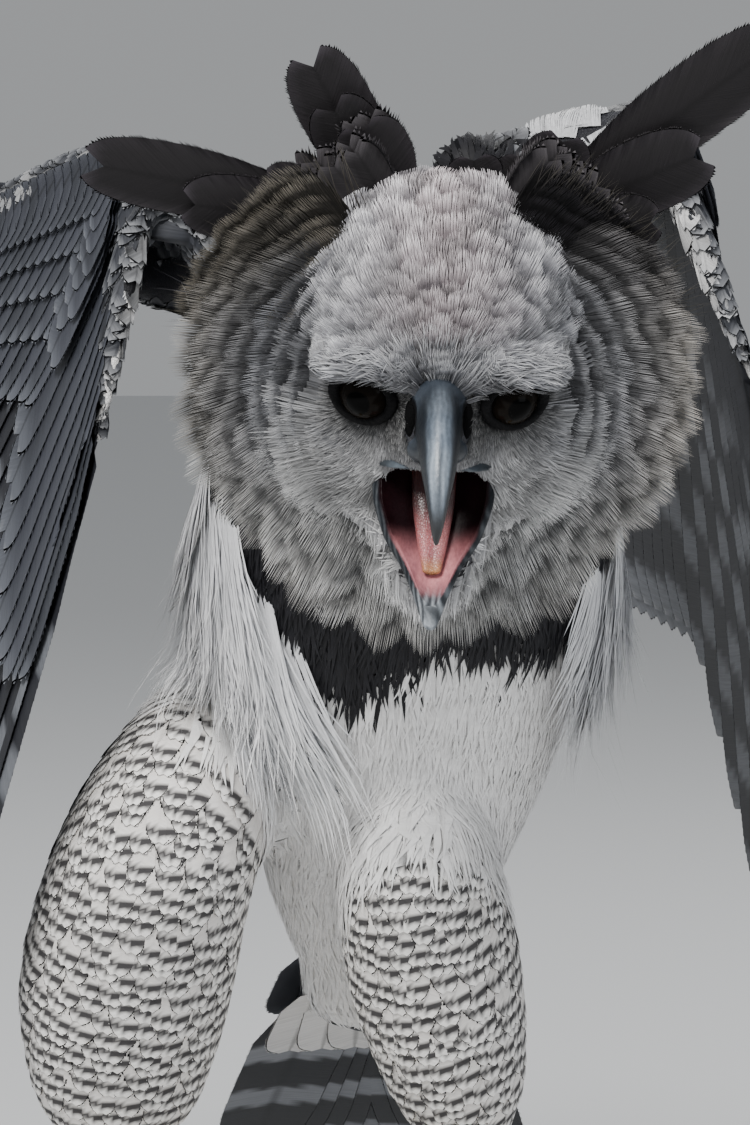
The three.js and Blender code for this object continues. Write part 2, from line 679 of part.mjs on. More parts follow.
function meshOf(name, solid, finish) {
  const whole = largest(solid).getMesh();
  const geometry = new THREE.BufferGeometry();
  geometry.setAttribute("position", new THREE.BufferAttribute(Float32Array.from(whole.vertProperties), 3));
  geometry.setIndex(Array.from(whole.triVerts));
  geometry.computeVertexNormals();
  const mesh = new THREE.Mesh(geometry, materials[finish]);
  mesh.name = name;
  return mesh;
}

// Assembly

const headGroup = new THREE.Group();
headGroup.position.set(...HEAD_AT);
headGroup.rotation.set(radians(HEAD_PITCH), radians(HEAD_ROLL), 0);
headGroup.updateMatrixWorld(true);
const inBody = (solid) => solid.transform(headGroup.matrixWorld.elements);

const body = bodySolid();
const eyes = { left: eyeball(1), right: eyeball(-1) };
const upper = [billHorn(), rictus()];
const jaw = lowerBill();
const mouth = mouthSpace();

const lidded = union([faceSolid(), lid(-1), lid(1)]).subtract(mouth);
const face = largest(clearOf(lidded, ...upper, jawOuter(), eyes.left, eyes.right));
const tiers = DISC_TIERS.map(discTier).flatMap(feathers);
const disc = largest(clearOf(union([discCore(), ...tiers, ...CORNERS.map(plume)]), face));
const crest = largest(clearOf(union([crestCore(), ...CREST.map(plume)]), face, disc));
const bill = clearOf(union(upper).subtract(mouth).subtract(nostrils()), jaw);
const tongue = clearOf(tongueSolid(), jaw, face);

headGroup.add(
  meshOf("head", face, "grey_down"),
  meshOf("facial_disc", disc, "grey_down"),
  meshOf("crest", crest, "crest_dark"),
  meshOf("bill_upper", bill, "horn"),
  meshOf("bill_lower", jaw, "horn"),
  meshOf("tongue", tongue, "flesh"),
  meshOf("eye_right", eyes.right, "iris"),
  meshOf("eye_left", eyes.left, "iris"),
);

const headInBody = [face, disc, crest].map(inBody);
const front = half(body, NECK_CUT.at, NECK_CUT.along.map((x) => -x));
const neck = clearOf(front, ...headInBody, inBody(crestCore()));
const trunk = half(body, NECK_CUT.at, NECK_CUT.along);

const bird = new THREE.Group();
bird.add(headGroup, meshOf("neck", neck, "black_down"), meshOf("torso", trunk, "white_down"));

const tailFans = [tailFan(1), tailFan(-1), tailCoverts(1), tailCoverts(-1)];
const tail = clearOf(union([tailCore(), ...tailFans.flatMap(feathers)]), trunk);
bird.add(meshOf("tail", tail, "flight"));

for (const [name, leg] of Object.entries(LEGS)) {
  const s = name === "left" ? 1 : -1;
  const upperLeg = clearOf(thigh(leg), trunk);
  const tarsus = clearOf(shank(leg), upperLeg);
  const ball = egg([leg.foot[0], leg.foot[1], 17], [17, 17, 16], { sides: 8, rows: 4 });
  const toes = union([ball, ...TOES.map((toe) => toeSolid(leg, toe, s))]);
  const foot = clearOf(half(toes, [0, 0, 0], [0, 0, 1], 0), tarsus);
  bird.add(
    meshOf("thigh_" + name, upperLeg, "barred"),
    meshOf("shank_" + name, tarsus, "leg_skin"),
    meshOf("foot_" + name, foot, "leg_skin"),
  );
  for (const toe of TOES) {
    const claw = clearOf(clawSolid(leg, toe, s), foot);
    bird.add(meshOf("claw_" + toe.name + "_" + name, claw, "horn"));
  }
}

for (const [name, wing] of Object.entries(WINGS)) {
  const chart = wingChart(wing);
  const vanes = wingFeathers(chart);
  const arm = union([upperArm(chart), foreArm(chart), ...vanes.arm, ...scapulars(chart)]);
  const inner = largest(clearOf(arm, body, ...headInBody));
  const outer = largest(clearOf(union([hand(chart), ...vanes.hand]), body, inner, ...headInBody));
  bird.add(meshOf("wing_arm_" + name, inner, "slate"), meshOf("wing_hand_" + name, outer, "flight"));
}

// The origin is on the floor, under the middle of the bird's box.
const box = new THREE.Box3().setFromObject(bird, true);
const centre = box.getCenter(V(0, 0, 0));
bird.position.set(-centre.x, -centre.y, 0);
const model = new THREE.Group();
model.add(bird);

export default model;
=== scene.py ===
# %% [markdown]
# A harpy eagle as a still museum model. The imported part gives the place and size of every
# piece. Here its plain solids are dressed: one skin under the plumage, thousands of small
# feathers made as mesh, and smooth bill, eyes, mouth, legs and claws.

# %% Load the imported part
import math
import bpy
import numpy as np
from numpy.linalg import norm
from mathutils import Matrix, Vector
from mathutils.bvhtree import BVHTree


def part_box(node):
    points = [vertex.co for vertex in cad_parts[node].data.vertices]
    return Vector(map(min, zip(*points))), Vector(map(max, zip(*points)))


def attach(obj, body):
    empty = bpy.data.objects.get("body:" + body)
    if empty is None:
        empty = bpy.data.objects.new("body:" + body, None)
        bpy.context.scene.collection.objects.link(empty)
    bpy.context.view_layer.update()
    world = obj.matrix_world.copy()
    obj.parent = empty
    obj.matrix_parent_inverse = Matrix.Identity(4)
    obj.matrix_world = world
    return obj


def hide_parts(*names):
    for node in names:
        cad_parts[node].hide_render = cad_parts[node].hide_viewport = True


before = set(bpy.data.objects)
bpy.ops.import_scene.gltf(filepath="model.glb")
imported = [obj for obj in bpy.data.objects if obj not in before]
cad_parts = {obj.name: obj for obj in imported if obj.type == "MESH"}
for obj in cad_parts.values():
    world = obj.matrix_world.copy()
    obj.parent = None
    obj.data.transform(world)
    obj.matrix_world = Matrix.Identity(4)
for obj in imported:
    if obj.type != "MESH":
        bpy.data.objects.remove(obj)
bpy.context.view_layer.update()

rng = np.random.default_rng(7)

# %% [markdown]
# The sizes below are the part's own, in millimetres from the bird's own zero. The packed
# part stands with the middle of its box over the origin, so one shift brings these numbers
# to it: it is found from the place of the eyes.

# %% The bird's own frame
MM = 0.001
HEAD_AT = np.array([27, -240, 520])
HEAD_PITCH, HEAD_ROLL = math.radians(24), math.radians(2.5)
EYE_RADIUS = 13
EYE_AT = np.array([30.0, -5, 6])
UP = np.array([0.0, 0, 1])


def turned(pitch, roll):
    """The turn about X by the pitch, after a turn about Y by the roll."""
    cp, sp, cr, sr = math.cos(pitch), math.sin(pitch), math.cos(roll), math.sin(roll)
    about_x = np.array([[1, 0, 0], [0, cp, -sp], [0, sp, cp]])
    about_y = np.array([[cr, 0, sr], [0, 1, 0], [-sr, 0, cr]])
    return about_x @ about_y


def middle(node):
    """The middle of a node's box."""
    low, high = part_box(node)
    return (np.array(low) + np.array(high)) / 2


HEAD_TURN = turned(HEAD_PITCH, HEAD_ROLL)
eyes_middle = (middle("eye_left") + middle("eye_right")) / 2
SHIFT = eyes_middle - MM * (HEAD_AT + HEAD_TURN @ (EYE_AT * [0, 1, 1]))


def place(points):
    """Millimetres in the bird's frame to metres in the part's frame."""
    return np.asarray(points, float) * MM + SHIFT


def to_mm(points):
    """Metres in the part's frame back to millimetres in the bird's frame."""
    return (np.asarray(points, float) - SHIFT) / MM


def head_way(ways):
    """Directions of the head's frame, with -Y along the bill, in the part's frame."""
    return np.asarray(ways, float) @ HEAD_TURN.T


def place_head(points):
    """Millimetres in the head's frame to metres in the part's frame."""
    return place(head_way(points) + HEAD_AT)


def to_head(points):
    """Metres in the part's frame back to millimetres in the head's frame."""
    return (to_mm(points) - HEAD_AT) @ HEAD_TURN


print("shift in mm", np.round(SHIFT / MM, 3))

# %% [markdown]
# Two helpers carry most shapes. A smooth path runs through a few stations, and a loft lays
# ovals along it: the point at turn a of the oval at t is spine(t) + w cos(a) side + d sin(a) up.


# %% Paths and lofts
def unit(v):
    """Each vector divided by its length."""
    return v / np.maximum(norm(v, axis=-1, keepdims=True), 1e-12)


def smooth_path(points, t):
    """A centripetal Catmull-Rom curve through the points, read at each t from 0 to 1."""
    p = np.asarray(points, float)
    p = np.vstack([2 * p[0] - p[1], p, 2 * p[-1] - p[-2]])
    place_at = np.clip(np.asarray(t, float), 0, 1) * (len(p) - 3)
    k = np.minimum(place_at.astype(int), len(p) - 4)
    x = (place_at - k)[..., None]
    a, b, c, d = p[k], p[k + 1], p[k + 2], p[k + 3]
    gaps = [norm(q - r, axis=-1, keepdims=True) for q, r in ((b, a), (c, b), (d, c))]
    step = [np.maximum(gap, 1e-9) ** 0.5 for gap in gaps]
    into = ((b - a) / step[0] - (c - a) / (step[0] + step[1]) + (c - b) / step[1]) * step[1]
    out = ((c - b) / step[1] - (d - b) / (step[1] + step[2]) + (d - c) / step[2]) * step[1]
    return b + x * into + x**2 * (3 * (c - b) - 2 * into - out) + x**3 * (2 * (b - c) + into + out)


def loft_point(loft, t, a, grow=0.0):
    """Points of a loft at t along it and turn a round it, each oval wider by grow."""
    t, a = np.broadcast_arrays(np.asarray(t, float), np.asarray(a, float))
    spine = np.array([s[0] for s in loft["stations"]], float)
    radii = np.array([s[1:3] for s in loft["stations"]], float)
    along = unit(smooth_path(spine, t + 1e-3) - smooth_path(spine, t - 1e-3))
    across = np.array(loft.get("across", (1, 0, 0)), float)
    side = unit(across - along * (along @ across)[..., None])
    up = np.cross(along, side)
    w, d = np.moveaxis(smooth_path(radii, t), -1, 0) + grow
    return smooth_path(spine, t) + (w * np.cos(a))[..., None] * side + (d * np.sin(a))[..., None] * up


def ring_grid(rings, around):
    """Shares of the way along a tube in one column, and turns round it in one row."""
    return np.linspace(0, 1, rings)[:, None], np.linspace(0, 2 * np.pi, around, endpoint=False)[None, :]


def ring_faces(rings, around):
    """Quads of a closed tube of rings, and triangles to a pole at each end."""
    i, j = np.meshgrid(np.arange(rings - 1), np.arange(around), indexing="ij")
    k = (j + 1) % around
    quads = np.stack([i * around + j, i * around + k, (i + 1) * around + k, (i + 1) * around + j], -1)
    j = np.arange(around)
    k = (j + 1) % around
    first, last = np.full(around, rings * around), np.full(around, rings * around + 1)
    end = (rings - 1) * around
    caps = [np.stack([first, k, j], -1), np.stack([last, end + j, end + k], -1)]
    return quads.reshape(-1, 4), np.concatenate(caps)


def loft_mesh(loft, rings=40, around=32, cap=0.6, grow=0.0):
    """A loft closed by a dome at each end: points, quads and triangles."""
    t, a = ring_grid(rings, around)
    body = loft_point(loft, t, a, grow)
    ends = []
    for end, inner in ((0, 1), (-1, -2)):
        centre = body[end].mean(0)
        out = unit(centre - body[inner].mean(0))
        size = norm(body[end] - centre, axis=1).min()
        dome = [centre + (body[end] - centre) * math.cos(q) + out * size * cap * math.sin(q)
                for q in (0.45, 0.9, 1.25)]
        ends.append((dome, centre + out * size * cap))
    rows = [*ends[0][0][::-1], *body, *ends[1][0]]
    points = np.concatenate([np.concatenate(rows), [ends[0][1], ends[1][1]]])
    return (points, *ring_faces(len(rows), around))


def egg_mesh(centre, radii, turn=(0, 0, 0), rings=20, around=32):
    """An ellipsoid as rings about X, then turned by degrees about X, Y and Z."""
    q = np.linspace(0, np.pi, rings + 2)[1:-1, None]
    a = np.linspace(0, 2 * np.pi, around, endpoint=False)[None, :]
    ball = np.stack([-np.cos(q) + 0 * a, np.sin(q) * np.cos(a), np.sin(q) * np.sin(a)], -1).reshape(-1, 3)
    points = np.vstack([ball, [-1, 0, 0], [1, 0, 0]]) * radii
    for axis, angle in enumerate(np.radians(turn)):
        c, s = math.cos(angle), math.sin(angle)
        i, j = [(1, 2), (2, 0), (0, 1)][axis]
        one, two = points[:, i], points[:, j]
        points[:, [i, j]] = np.stack([one * c - two * s, one * s + two * c], -1)
    return (points + centre, *ring_faces(rings, around))


# %% Meshes from arrays
def new_piece(name, points, quads=None, tris=None, smooth=True):
    """A mesh object from whole arrays of points and faces, given in metres."""
    mesh = bpy.data.meshes.new(name)
    faces = [f for f in (quads, tris) if f is not None and len(f)]
    loops = np.concatenate([f.reshape(-1) for f in faces]).astype(np.int32)
    sizes = np.concatenate([np.full(len(f), f.shape[1], np.int32) for f in faces])
    mesh.vertices.add(len(points))
    mesh.vertices.foreach_set("co", np.asarray(points, np.float32).reshape(-1))
    mesh.loops.add(len(loops))
    mesh.loops.foreach_set("vertex_index", loops)
    mesh.polygons.add(len(sizes))
    mesh.polygons.foreach_set("loop_start", np.concatenate([[0], np.cumsum(sizes)[:-1]]).astype(np.int32))
    mesh.polygons.foreach_set("use_smooth", np.full(len(sizes), smooth))
    mesh.update(calc_edges=True)
    piece = bpy.data.objects.new(name, mesh)
    bpy.context.scene.collection.objects.link(piece)
    return piece


def joined(parts):
    """Several (points, quads, tris) as one set of arrays."""
    points, quads, tris, start = [], [], [], 0
    for p, q, t in parts:
        points.append(p)
        quads.append(np.asarray(q, int).reshape(-1, 4) + start)
        tris.append(np.asarray(t, int).reshape(-1, 3) + start)
        start += len(p)
    return np.concatenate(points), np.concatenate(quads), np.concatenate(tris)


def read_points(piece):
    """The points of a piece as an array of one row each."""
    flat = np.empty(len(piece.data.vertices) * 3, np.float32)
    piece.data.vertices.foreach_get("co", flat)
    return flat.reshape(-1, 3).astype(float)


def give(piece, name, values):
    """Stores one colour or vector for each point of a piece."""
    values = np.asarray(values, np.float32).reshape(-1, 3)
    if name == "Plumage":
        data = piece.data.attributes.new(name, "FLOAT_COLOR", "POINT").data
        data.foreach_set("color", np.hstack([values, np.ones((len(values), 1), np.float32)]).reshape(-1))
    else:
        data = piece.data.attributes.new(name, "FLOAT_VECTOR", "POINT").data
        data.foreach_set("vector", values.reshape(-1))


def linear(hexcode):
    """A screen colour such as 0x8090a0 as linear red, green and blue."""
    c = np.array([(hexcode >> s) & 255 for s in (16, 8, 0)]) / 255
    return np.where(c <= 0.04045, c / 12.92, ((c + 0.055) / 1.055) ** 2.4)


def smoothstep(low, high, x):
    """0 up to low and 1 from high on, with 3 t^2 - 2 t^3 between them."""
    t = np.clip((x - low) / (high - low), 0, 1)
    return t * t * (3 - 2 * t)


def colour_of(tone):
    """A screen colour as linear(tone), and arrays of colours as they are."""
    return linear(tone) if isinstance(tone, int) else np.asarray(tone, float)


def mixed(a, b, share):
    """A blend of two colours, or of two arrays of them, by a share from 0 to 1."""
    share = np.asarray(share)[..., None]
    return colour_of(a) * (1 - share) + colour_of(b) * share


# %% [markdown]
# The flesh is one skin. Lofts and eggs for head, body, thighs and wings are laid into one
# another a little under the part's own surface, a voxel remesh fuses them, and a wedge is
# cut out for the open mouth, so that no seam shows between the parts of the body.

# %% The body's named sizes
BODY = {"stations": [
    ((27, -196, 542), 50, 50), ((26, -158, 562), 60, 56), ((24, -116, 552), 76, 64),
    ((21, -80, 514), 94, 80), ((18, -44, 462), 101, 88), ((13, -6, 402), 96, 86),
    ((8, 32, 342), 83, 76), ((3, 68, 288), 67, 62), ((0, 98, 244), 50, 47), ((-2, 122, 210), 32, 28),
]}
LEGS = {
    "right": {"hip": (-54, 28, 350), "knee": (-94, -18, 304), "shin": (-115, 2, 234),
              "calf": (-121, 22, 176), "ankle": (-123, 34, 128), "foot": (-125, -8, 25),
              "turn": -14, "wide": 56},
    "left": {"hip": (32, 48, 350), "knee": (18, 2, 304), "shin": (27, 20, 236), "calf": (39, 40, 176),
             "ankle": (45, 52, 128), "foot": (50, 10, 25), "turn": 10, "wide": 47},
}
WINGS = {
    "right": {"shoulder": (-60, -50, 562), "elbow": (-172, 75, 580), "wrist": (-104, -72, 617),
              "tip": (-124, -94, 490), "upper": (-1, 0, 0), "cup": 8, "inward": 1},
    "left": {"shoulder": (50, -58, 600), "elbow": (112, 96, 590), "wrist": (126, -48, 634),
             "tip": (170, -64, 516), "upper": (1, 0, 0), "cup": 29.5, "inward": -1},
}
COAT = {"head": 5, "body": 9, "thigh": 8, "wing": 5}
TAIL_ROOT = {"stations": [
    ((-2, 98, 222), 30, 26), ((-2, 140, 205), 31, 20), ((-2, 182, 188), 30, 12), ((-2, 214, 174), 24, 7),
]}
SKULL_EGGS = [
    ((0, 36, 30), (66, 62, 58), (0, 0, 0)), ((0, 28, -20), (70, 46, 62), (0, 0, 0)),
    ((0, -10, -8), (27, 25, 28), (0, 0, 0)), ((0, -6, -60), (26, 17, 36), (-40, 0, 0)),
    ((-32, -7, 26), (27, 21, 8.5), (6, -14, 12)), ((32, -7, 26), (27, 21, 8.5), (6, 14, -12)),
]
MOUTH_ROWS = [(16, 10, -40, -24), (-2, 22, -52, -23), (-22, 26, -68, -19), (-60, 28, -104, -19)]


def thigh_loft(leg):
    """The feathered leg from the hip to a little above the ankle."""
    low = np.array(leg["calf"]) * 0.28 + np.array(leg["ankle"]) * 0.72
    wide = leg["wide"]
    return {"stations": [(leg["hip"], 40, 54), (leg["knee"], wide - 5, 60), (leg["shin"], wide, 56),
                         (leg["calf"], 0.83 * wide, 44), (low, 23, 25)]}


def wing_chart(wing):
    """Axes of a wing: x from wrist to elbow, y towards the feathers' tips, h up through it."""
    chart = {k: np.array(wing[k], float) for k in ("shoulder", "elbow", "wrist", "tip")}
    arm = unit(chart["elbow"] - chart["wrist"])
    hand = chart["tip"] - chart["wrist"]
    out = unit(hand - arm * (hand @ arm))
    up = np.cross(arm, out)
    up = up if up @ wing["upper"] > 0 else -up
    arm_length = norm(chart["elbow"] - chart["wrist"])
    chart.update(along=arm, out=out, up=up, arm=arm_length, hand=hand @ out, lean=hand @ arm)
    chart.update(cup=wing["cup"], inward=wing["inward"])
    return chart


CHARTS = {side: wing_chart(wing) for side, wing in WINGS.items()}
THIGHS = {side: thigh_loft(leg) for side, leg in LEGS.items()}


def limb(a, b, radii, across):
    """A loft from a to b, with its radii at shares of the way."""
    return {"stations": [(a + (b - a) * t, w, d) for t, w, d in radii], "across": tuple(across)}


def wing_limbs(c):
    """Upper arm, forearm, hand, leading edge and the lobe of scapulars, as lofts."""
    lobe = [((4, -14, 0), 26, 24), ((18, 60, -50), 34, 18), ((26, 132, -124), 20, 8)]
    return [
        limb(c["shoulder"], c["elbow"], [(-0.1, 22, 30), (0.45, 19, 28), (1.02, 14, 20)], c["up"]),
        limb(c["elbow"], c["wrist"], [(0, 15, 21), (0.4, 15, 22), (1.02, 12, 14)], c["up"]),
        limb(c["wrist"], c["tip"], [(0.02, 12, 15), (0.4, 11, 17), (1.02, 7, 8)], c["up"]),
        limb(c["shoulder"], c["wrist"], [(0.02, 24, 30), (0.5, 17, 24), (0.96, 12, 16)], c["up"]),
        {"stations": [(c["shoulder"] + np.array(at) * [c["inward"], 1, 1], w, d) for at, w, d in lobe]},
    ]


def web_mesh(c, thick):
    """The sheet of skin between shoulder, elbow and wrist, given a thickness."""
    u, v, h = np.meshgrid(np.linspace(0.04, 0.9, 8), np.linspace(0, 1, 6), (-0.5, 0.5), indexing="ij")
    one = c["elbow"] + (c["wrist"] - c["elbow"]) * u[..., None]
    two = c["shoulder"] + (c["wrist"] - c["shoulder"]) * u[..., None]
    p = one + (two - one) * v[..., None] + c["up"] * (h * thick)[..., None]
    n = np.arange(p[..., 0].size).reshape(p.shape[:3])
    sides = [n[:, :, 1], n[:, ::-1, 0], n[:, 0, :], n[::-1, -1, :], n[0, :, ::-1], n[-1, :, :]]
    quads = [np.stack([g[:-1, :-1], g[1:, :-1], g[1:, 1:], g[:-1, 1:]], -1).reshape(-1, 4) for g in sides]
    return p.reshape(-1, 3), np.concatenate(quads), np.zeros((0, 3), int)


# %% The skin
def in_place(part, put=place):
    """The arrays of a part with its points put into the part's frame."""
    return (put(part[0]), *part[1:])


def head_egg(centre, radii, turn=(0, 0, 0)):
    """An ellipsoid given in the head's frame, put into the part's frame."""
    return in_place(egg_mesh(np.array(centre, float), radii, turn), place_head)


def head_parts(depth):
    """Skull, cheeks, muzzle, chin and brows as eggs, each smaller by depth or by less if thin."""
    return [head_egg(at, np.array(radii, float) - depth * min(1, min(radii) / 20), turn)
            for at, radii, turn in SKULL_EGGS]


def skin_parts():
    """All that is fused to the skin: head with the base of its disc, body, thighs, wings and tail."""
    parts = head_parts(COAT["head"])
    parts.append(head_egg((0, 38, 0), (84, 9, 84)))
    parts.append(in_place(loft_mesh(BODY, grow=-COAT["body"])))
    for side, chart in CHARTS.items():
        parts.append(in_place(loft_mesh(THIGHS[side], grow=-COAT["thigh"])))
        parts += [in_place(loft_mesh(one, 16, 20, grow=-COAT["wing"])) for one in wing_limbs(chart)]
        parts.append(in_place(web_mesh(chart, 14)))
    parts.append(in_place(loft_mesh(TAIL_ROOT)))
    return parts


def applied(piece):
    """Puts the result of a piece's modifiers into its mesh."""
    graph = bpy.context.evaluated_depsgraph_get()
    shape = bpy.data.meshes.new_from_object(piece.evaluated_get(graph))
    piece.modifiers.clear()
    piece.data = shape
    return piece


def fused(name, parts, voxel, smoothing, cuts=(), ease=0.5):
    """Parts fused by a voxel remesh, smoothed by ease, with the cuts taken out."""
    piece = new_piece(name, *joined(parts))
    fuse = piece.modifiers.new("fuse", "REMESH")
    fuse.mode, fuse.voxel_size, fuse.use_smooth_shade = "VOXEL", voxel, True
    soften = piece.modifiers.new("soften", "SMOOTH")
    soften.factor, soften.iterations = ease, smoothing
    applied(piece)
    for part in cuts:
        tool = new_piece("cut", *part)
        cut = piece.modifiers.new("cut", "BOOLEAN")
        cut.object, cut.operation, cut.solver = tool, "DIFFERENCE", "EXACT"
        applied(piece)
        bpy.data.objects.remove(tool)
    return piece


def wedge_mesh():
    """The space between the jaws, from the throat out past the bill, in the head's frame."""
    around = 24
    a = np.linspace(0, 2 * np.pi, around, endpoint=False)
    rings = [np.stack([w * np.cos(a), np.full(around, y), low + (high - low) * (0.5 + 0.5 * np.sin(a))], -1)
             for y, w, low, high in MOUTH_ROWS]
    points = np.concatenate([*rings, [(0, 26, -33), (0, -62, -62)]]).astype(float)
    return (points, *ring_faces(len(MOUTH_ROWS), around))


skin = fused("skin", skin_parts(), 0.0036, 6, [in_place(wedge_mesh(), place_head)], ease=0.6)
print("skin", len(skin.data.vertices), "points", len(skin.data.polygons), "faces")

# %% [markdown]
# Feathers must lie on that skin. A grid of points round the bird keeps the distance to the
# skin, below zero inside. The slope of this field is the way outwards, so any array of
# points can be set at a wanted height over the flesh: p - slope (distance - height).


# %% A field of distances to the skin
def skin_field(low, high, step, reach=0.05):
    """Distance and slope on a grid from low to high. Points farther than reach keep reach."""
    mesh = skin.data
    tree = BVHTree.FromPolygons([v.co for v in mesh.vertices], [p.vertices for p in mesh.polygons])
    axes = [np.arange(a, b + step, step) for a, b in zip(low, high)]
    grid = np.stack(np.meshgrid(*axes, indexing="ij"), -1)
    gaps = []
    for p in map(Vector, grid.reshape(-1, 3)):
        at, normal, _, gap = tree.find_nearest(p, reach)
        gaps.append(reach if at is None else math.copysign(gap, (p - at).dot(normal)))
    d = np.array(gaps).reshape(grid.shape[:3])
    slope = np.stack(np.gradient(d, step), -1)
    return {"low": np.array(low), "step": step, "values": np.concatenate([d[..., None], unit(slope)], -1)}


def read_field(field, p):
    """Distance to the skin and the way outwards at each point, blended from eight corners."""
    q = (np.asarray(p) - field["low"]) / field["step"]
    values = field["values"]
    top = np.array(values.shape[:3]) - 2
    k = np.clip(np.floor(q).astype(int), 0, top)
    f = np.clip(q - k, 0, 1)
    total = 0
    for i in (0, 1):
        for j in (0, 1):
            for m in (0, 1):
                part = np.abs(1 - i - f[..., 0]) * np.abs(1 - j - f[..., 1]) * np.abs(1 - m - f[..., 2])
                corner = values[k[..., 0] + i, k[..., 1] + j, k[..., 2] + m]
                total = total + part[..., None] * corner
    return total[..., 0], unit(total[..., 1:])


def lay(field, points, height, hold=1.0, rounds=3):
    """Moves points to a height over the skin, all the way where hold is 1."""
    for _ in range(rounds):
        gap, out = read_field(field, points)
        points = points - out * ((gap - height) * hold)[..., None]
    return points


skin_points = read_points(skin)
BODY_FIELD = skin_field(skin_points.min(0) - 0.02, skin_points.max(0) + 0.02, 0.0072)
near_head = place_head([(0, 20, 0)])[0]
HEAD_REACH = 0.125
HEAD_FIELD = skin_field(near_head - HEAD_REACH, near_head + HEAD_REACH, 0.0042)
print("fields", BODY_FIELD["values"].shape, HEAD_FIELD["values"].shape)

# %% [markdown]
# A feather is a flat form with x from 0 at its root to 1 at its tip and y across. Its web
# is a grid that leans to the tip on both sides of the shaft, as barbs do. Along the edge
# each step ends in one loose point, so that the rim looks soft. A downy feather has no
# web: it is a bunch of thin blades. Both are kept as arrays, and copies are made at once.


# %% Forms of feathers
def round_tip(u, root=0.45, full=0.5, power=2.2):
    """Half width along a feather: grows from the root, is 1 at full, closes round at the tip."""
    rise = root + (1 - root) * np.sin(np.clip(u / full, 0, 1) * np.pi / 2)
    q = np.clip((u - full) / (1 - full), 0, 1)
    return rise * np.maximum(1 - q**power, 0) ** (1 / power)


def rounded(*numbers):
    """The outline round_tip with its root, full and power set."""
    return lambda u: round_tip(u, *numbers)


def vane_form(rows, shares, profile=round_tip, lean=1.0, aspect=0.3, ragged=0.12, seed=0):
    """A web whose rows follow the barbs: each barb starts on the shaft and runs forward to the
    rim. The web stops at the last of the shares, and each step ends in one loose barb tip."""
    r = np.random.default_rng(seed)
    rim = np.linspace(0.05, 0.988, rows + 1)
    half = profile(rim)
    base = np.maximum(rim - lean * aspect * half, rim * 0.12)
    c = np.array([*(-np.array(shares)[::-1]), 0, *shares])
    x = base[:, None] + (rim - base)[:, None] * np.abs(c)
    y = half[:, None] * c
    n = np.arange(x.size).reshape(x.shape)
    quads = np.stack([n[:-1, :-1], n[:-1, 1:], n[1:, 1:], n[1:, :-1]], -1).reshape(-1, 4)
    xs, ys, tris, start = [x.reshape(-1)], [y.reshape(-1)], [], n.size
    phase, lane = [(base[:, None] + 0 * x).reshape(-1)], [(c + 0 * x).reshape(-1)]
    for side, column in ((-1, 0), (1, -1)):
        reach = 1 + ragged * r.uniform(-1, 0.6, rows)
        b, e, h = [(v[1:] + v[:-1]) / 2 for v in (base, rim, half)]
        xs.append(np.minimum(b + (e - b) * reach + 0.3 / rows, 1.01))
        ys.append(side * h * reach)
        tips = start + np.arange(rows)
        pair = (n[:-1, column], n[1:, column])
        tris.append(np.stack([*(pair if side > 0 else pair[::-1]), tips], -1))
        phase.append(b)
        lane.append(side + 0 * b)
        start += rows
    return {"x": np.concatenate(xs), "y": np.concatenate(ys), "s": np.concatenate(lane), "quads": quads,
            "tris": np.concatenate(tris), "strand": np.zeros(start), "phase": np.concatenate(phase)}


def tuft_form(blades, steps=2, width=0.13, spread=2.0, seed=0, even=0.7, wild=0.5, round_off=0.0):
    """Thin tapered blades from one root, fanned across by spread. Their lengths go from even
    to 1, less at the sides by round_off, and each bends sideways by up to wild."""
    r = np.random.default_rng(seed)
    start = np.linspace(-1, 1, blades)[r.permutation(blades)][:, None] / spread
    reach = r.uniform(even, 1.0, blades)[:, None] * (1 - round_off * (start * spread) ** 2)
    u = np.linspace(0, 1, steps + 1)[None, :-1] ** 0.75
    bend = r.uniform(-wild, wild, blades)[:, None]
    y = start * (1 + (spread - 1) * u) + bend * u**2
    half = width * (1 - 0.55 * u)
    x = u * reach
    left, right = y - half, y + half
    tip_x = reach[:, 0]
    tip_y = (start * spread + bend)[:, 0]
    strand = np.tile(r.uniform(0, 1, blades)[:, None], (1, steps))
    n = np.arange(blades * steps * 2).reshape(blades, steps, 2)
    quads = np.stack([n[:, :-1, 0], n[:, :-1, 1], n[:, 1:, 1], n[:, 1:, 0]], -1).reshape(-1, 4)
    tips = n.size + np.arange(blades)
    tris = np.stack([n[:, -1, 0], n[:, -1, 1], tips], -1)
    xs = np.concatenate([np.stack([x, x], -1).reshape(-1), tip_x])
    ys = np.concatenate([np.stack([left, right], -1).reshape(-1), tip_y])
    strands = np.concatenate([np.repeat(strand.reshape(-1), 2), strand[:, 0]])
    return {"x": xs, "y": ys, "s": np.clip(ys / spread, -1, 1), "quads": quads, "tris": tris,
            "strand": strands, "phase": xs * 0.2}


def several(make, count, *numbers, seed=0, **more):
    """A few forms with the same numbers and other random barbs, so that copies differ."""
    return [make(*numbers, seed=seed + k, **more) for k in range(count)]


